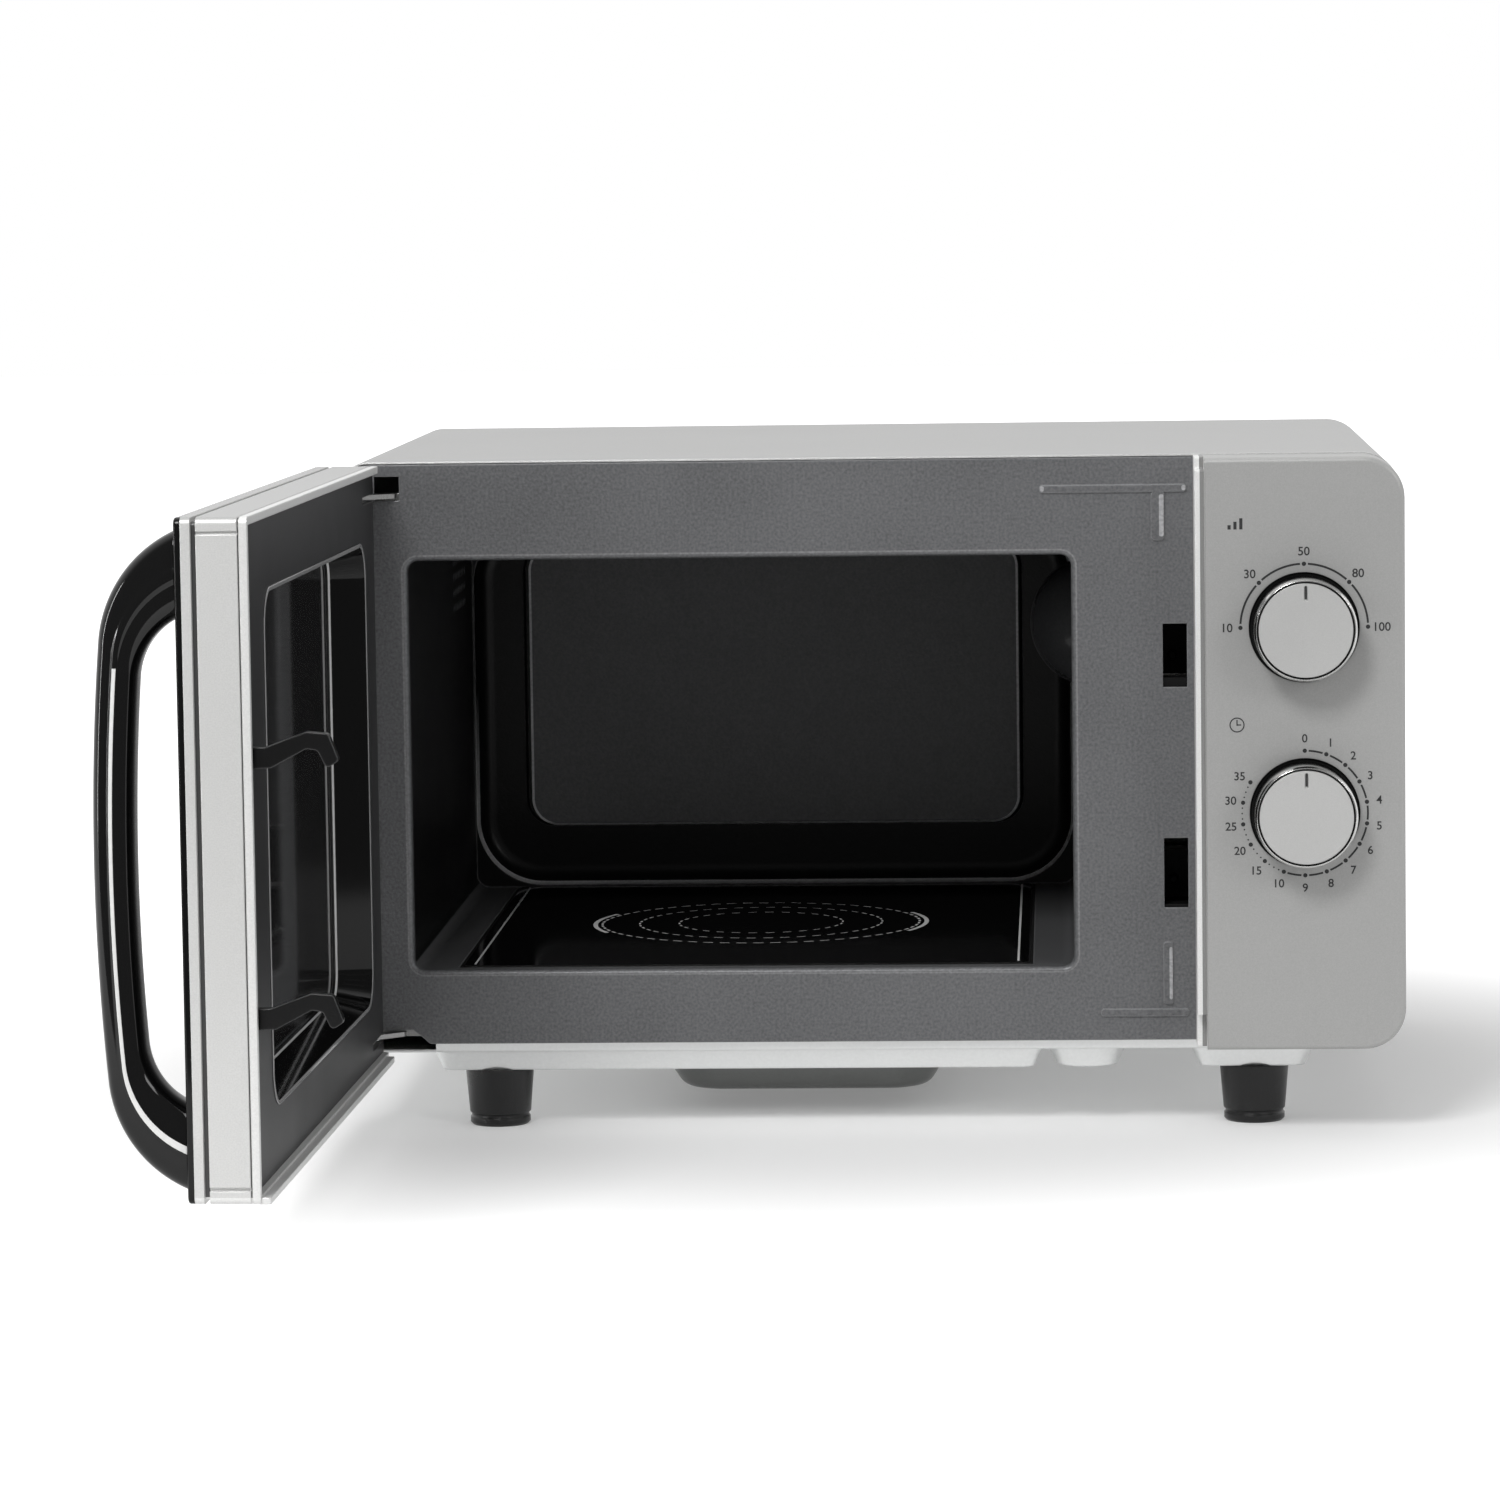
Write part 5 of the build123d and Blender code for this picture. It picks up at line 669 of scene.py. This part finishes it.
def arc_points(start, heading, stop, share):
    """Points on the circle that leaves start along heading and ends at stop: the centre lies across
    the heading, at half the chord squared over the chord's sideways part."""
    start, stop, heading = np.array(start), np.array(stop), np.array(heading) / np.hypot(*heading)
    side = np.array((-heading[1], heading[0]))
    chord = stop - start
    radius = chord @ chord / (2 * (chord @ side))
    centre = start + radius * side
    sweep = 2 * np.arctan2(chord @ side, chord @ heading)
    turn = share * sweep
    spoke = start - centre
    return centre + np.column_stack((spoke[0] * np.cos(turn) - spoke[1] * np.sin(turn),
                                     spoke[0] * np.sin(turn) + spoke[1] * np.cos(turn)))


def bow_edge(reach, sag, knee, end):
    """One long edge of the bow, as outward distance and height: a root arc, a shallow arc through
    the middle and a root arc again, each sampled evenly along its turn."""
    share = np.linspace(0.0, 1.0, 60)
    top = (reach - sag, knee)
    half_rise = knee - bow_middle
    radius = (half_rise ** 2 + sag ** 2) / (2 * sag)
    lean = np.arcsin(half_rise / radius)
    upper = arc_points(top, (-sin(lean), cos(lean)), (door_front, end), share)
    tilt = np.linspace(-lean, lean, 80)
    middle = np.column_stack((reach - radius + radius * np.cos(tilt), bow_middle + radius * np.sin(tilt)))
    lower = upper[::-1] * (1.0, -1.0) + (0.0, 2 * bow_middle)
    return np.concatenate((lower[:-1], middle, upper[1:]))


def bow_surface(outer, inner, near, far):
    """The handle's skin: along the two edges over one parameter, and round a rounded-square section
    between them over the other. A narrow bell on the section's near side makes the ridge."""
    squareness, gather, ridge_rise, ridge_spread = 0.62, 1.8, 0.075, 0.055
    spread = np.linspace(-1.0, 1.0, 121)
    turn = np.pi / 2 + np.pi * np.sign(spread) * np.abs(spread) ** gather
    thick = np.sign(np.cos(turn)) * np.abs(np.cos(turn)) ** squareness
    wide = np.sign(np.sin(turn)) * np.abs(np.sin(turn)) ** squareness
    wide = wide + ridge_rise * np.exp(-(np.cos(turn) / ridge_spread) ** 2) * (np.sin(turn) > 0)
    middle, half = (outer + inner) / 2, (outer - inner) / 2
    flat = middle[:, None, :] + half[:, None, :] * thick[None, :-1, None]
    along = np.broadcast_to((near + far) / 2 + (near - far) / 2 * wide[None, :-1], flat.shape[:2])
    return (hinge_line + along[:, :, None] * door_along + flat[:, :, :1] * door_outward
            + flat[:, :, 1:] * np.array((0.0, 0.0, 1.0)))


def round_mesh(name, grid):
    """A closed tube from a grid of points, rows along it and columns round it, with flat ends."""
    rows, columns = grid.shape[:2]
    row, column = np.meshgrid(np.arange(rows - 1), np.arange(columns), indexing="ij")
    across = (column + 1) % columns
    quads = np.stack((row * columns + column, row * columns + across, (row + 1) * columns + across,
                      (row + 1) * columns + column), -1).reshape(-1, 4)
    faces = quads.tolist() + [list(range(columns))[::-1], list(range((rows - 1) * columns, rows * columns))]
    mesh = bpy.data.meshes.new(name)
    mesh.from_pydata(grid.reshape(-1, 3).tolist(), [], faces)
    mesh.polygons.foreach_set("use_smooth", [True] * len(quads) + [False] * 2)
    mesh.update()
    return mesh


bow_outer = bow_edge(door_front + bow_reach, outer_sag, bow_high - outer_knee, bow_high)
bow_inner = bow_edge(door_front + bow_reach - bow_thick, inner_sag, bow_high - bow_root - inner_knee,
                     bow_high - bow_root)
bow_mesh = round_mesh("door_bow", bow_surface(bow_outer, bow_inner, bow_near, bow_far))
bow_black = finish("bow_black", (0.003, 0.003, 0.0031), 0.07, grain=400.0, tint=0.1, clouds=0.03, cloud=18.0,
                   relief=0.0, edge=0.0003, specular=0.4)
bow_tree = bow_black.node_tree
bow_ridge = beyond(bow_tree, door_reach(bow_tree, door_along), ridge_start)
bow_ridge_highlight = both(bow_tree, bow_ridge, below(bow_tree, axes(bow_tree, "Object")["Z"], ridge_highlight_top))
# Painted highlight: the ridge is painted light grey below a set height.
tint_where(bow_black, bow_ridge_highlight, (0.75, 0.75, 0.74))
bow_mesh.materials.append(bow_black)
bow = bpy.data.objects.new("door_bow", bow_mesh)
bpy.context.scene.collection.objects.link(bow)
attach(bow, "door")
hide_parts("handle")

# Latch: two black nylon hooks on one sliding bar inside the door. Their noses ride over the
# catches behind the slots, and a coiled steel spring in the door draws them down.
spring_pitch = 0.0022
dress(finish("hook_nylon", (0.006, 0.006, 0.0062), 0.3, grain=1300.0, tint=0.2, relief=0.00004, edge=0.0009,
             worn_and_lit=(0.16, 0.16, 0.16), specular=0.25), "latch_hooks")
dress(lined(bare_steel("spring_steel"), (0.0, 0.0, 1.0), spring_pitch, (0.05, 0.05, 0.05)), "latch_spring")


# Table: a plain white sweep under and behind the oven. It keeps the oven's soft shadow and runs
# out into the white backdrop, and it is dimmer where the oven's gloss mirrors it.
def ramp_node(tree, value, ends, levels):
    """A smooth step of a value between two ends, from one level to another."""
    node = tree.nodes.new("ShaderNodeMapRange")
    node.interpolation_type = "SMOOTHSTEP"
    for label, number in zip(("From Min", "From Max", "To Min", "To Max"), (*ends, *levels)):
        node.inputs[label].default_value = number
    tree.links.new(value, node.inputs["Value"])
    return node.outputs["Result"]


def mirrored(tree, rays):
    """One for rays that were mirrored or let through."""
    return sum_node(tree, "MAXIMUM", rays["Is Glossy Ray"], rays["Is Transmission Ray"])


table_side, table_front, table_back = 9, -1.0, 9
shadow_glow, backdrop_glow, mirror_glow = 0.2, 1.0, 0.5
table = bpy.data.meshes.new("table")
table.from_pydata([(-table_side, table_front, 0), (table_side, table_front, 0), (table_side, table_back, 0),
                   (-table_side, table_back, 0)], [], [(0, 1, 2, 3)])
table_white = bpy.data.materials.new("table_white")
table_white.use_nodes = True
table_tree = table_white.node_tree
table_shader = table_tree.nodes["Principled BSDF"]
table_shader.inputs["Base Color"].default_value = (0.8, 0.8, 0.8, 1.0)
table_shader.inputs["Roughness"].default_value = 0.9
table_shader.inputs["Specular IOR Level"].default_value = 0.1
table_shader.inputs["Emission Color"].default_value = (1.0, 1.0, 1.0, 1.0)
table_ray = table_tree.nodes.new("ShaderNodeLightPath").outputs
table_reach = table_tree.nodes.new("ShaderNodeVectorMath")
table_reach.operation = "LENGTH"
table_tree.links.new(table_tree.nodes.new("ShaderNodeTexCoord").outputs["Object"], table_reach.inputs[0])
table_glow = []
for seen, ends, levels in ((table_ray["Is Camera Ray"], (0.22, 0.62), (shadow_glow, backdrop_glow)),
                           (mirrored(table_tree, table_ray), (0.35, 1.3), (shadow_glow, mirror_glow))):
    fade = ramp_node(table_tree, table_reach.outputs["Value"], ends, levels)
    table_glow.append(sum_node(table_tree, "MULTIPLY", seen, fade))
table_tree.links.new(sum_node(table_tree, "ADD", *table_glow), table_shader.inputs["Emission Strength"])
table.materials.append(table_white)
table_top = bpy.data.objects.new("table", table)
bpy.context.scene.collection.objects.link(table_top)

# Studio: a white backdrop behind the oven and a dimmer room behind the camera, a large lamp over
# the left shoulder, a weaker one at the right, one overhead and a tall strip at the left.
room_level, dim_level, white_level = 0.42, 0.22, 1.0
lamps = (("lamp_left", (-0.7, -2.2, 2.0), (0.0, -0.1, 0.2), 0.8, 0.8, 42.0),
         ("lamp_right", (1.7, -1.9, 1.1), (0.0, -0.1, 0.15), 0.7, 0.7, 8.0),
         ("lamp_over", (0.0, 0.2, 2.3), (0.0, 0.0, 0.0), 1.5, 1.5, 3.0),
         ("lamp_strip", (-1.9, -1.0, 0.45), (-0.24, -0.5, 0.16), 0.1, 1.2, 8.0))
studio = bpy.data.worlds.new("studio")
studio.use_nodes = True
bpy.context.scene.world = studio
studio_tree = studio.node_tree
studio_ray = studio_tree.nodes.new("ShaderNodeLightPath").outputs
studio_way = axes(studio_tree, "Generated")["Y"]
studio_back = ramp_node(studio_tree, studio_way, (-0.45, 0.2), (dim_level, white_level))
studio_shown = sum_node(studio_tree, "MAXIMUM", studio_ray["Is Camera Ray"], studio_back)
studio_seen = sum_node(studio_tree, "MAXIMUM", studio_ray["Is Camera Ray"], mirrored(studio_tree, studio_ray))
studio_gain = sum_node(studio_tree, "SUBTRACT", studio_shown, room_level)
studio_extra = sum_node(studio_tree, "MULTIPLY", studio_seen, studio_gain)
studio_light = studio_tree.nodes["Background"]
studio_light.inputs["Color"].default_value = (1.0, 1.0, 1.0, 1.0)
studio_tree.links.new(sum_node(studio_tree, "ADD", studio_extra, room_level), studio_light.inputs["Strength"])
for name, spot, aim, wide, tall, power in lamps:
    lamp = bpy.data.lights.new(name, "AREA")
    lamp.shape, lamp.size, lamp.size_y, lamp.energy = "RECTANGLE", wide, tall, power
    lamp_place = bpy.data.objects.new(name, lamp)
    lamp_place.location = spot
    lamp_place.rotation_euler = (Vector(aim) - Vector(spot)).to_track_quat("-Z", "Y").to_euler()
    bpy.context.scene.collection.objects.link(lamp_place)
bpy.context.scene.view_settings.view_transform = "Standard"

# Camera: a little above the oven and to the right of its middle, with a long lens. Its place and
# turn were worked out from the oven's straight edges.
yaw, pitch, roll = 0.052152, -0.097748, -0.013525
eye_spot = (0.079871, -2.638150, 0.404313)
focal_pixels, photo_pixels, film_wide = 6022.969, 1500, 36.0
level = np.array((cos(yaw), sin(yaw), 0.0))
ahead = np.array((-sin(yaw) * cos(pitch), cos(yaw) * cos(pitch), sin(pitch)))
above = np.cross(level, ahead)
right = cos(roll) * level + sin(roll) * above
upward = cos(roll) * above - sin(roll) * level
eye = bpy.data.cameras.new("camera")
eye.sensor_width = film_wide
eye.lens = film_wide * focal_pixels / photo_pixels
eye.clip_end = 60.0
eye_place = bpy.data.objects.new("camera", eye)
eye_turn = np.eye(4)
eye_turn[:3, :4] = np.column_stack((right, upward, -ahead, eye_spot))
eye_place.matrix_world = Matrix(eye_turn.tolist())
bpy.context.scene.collection.objects.link(eye_place)
bpy.context.scene.camera = eye_place
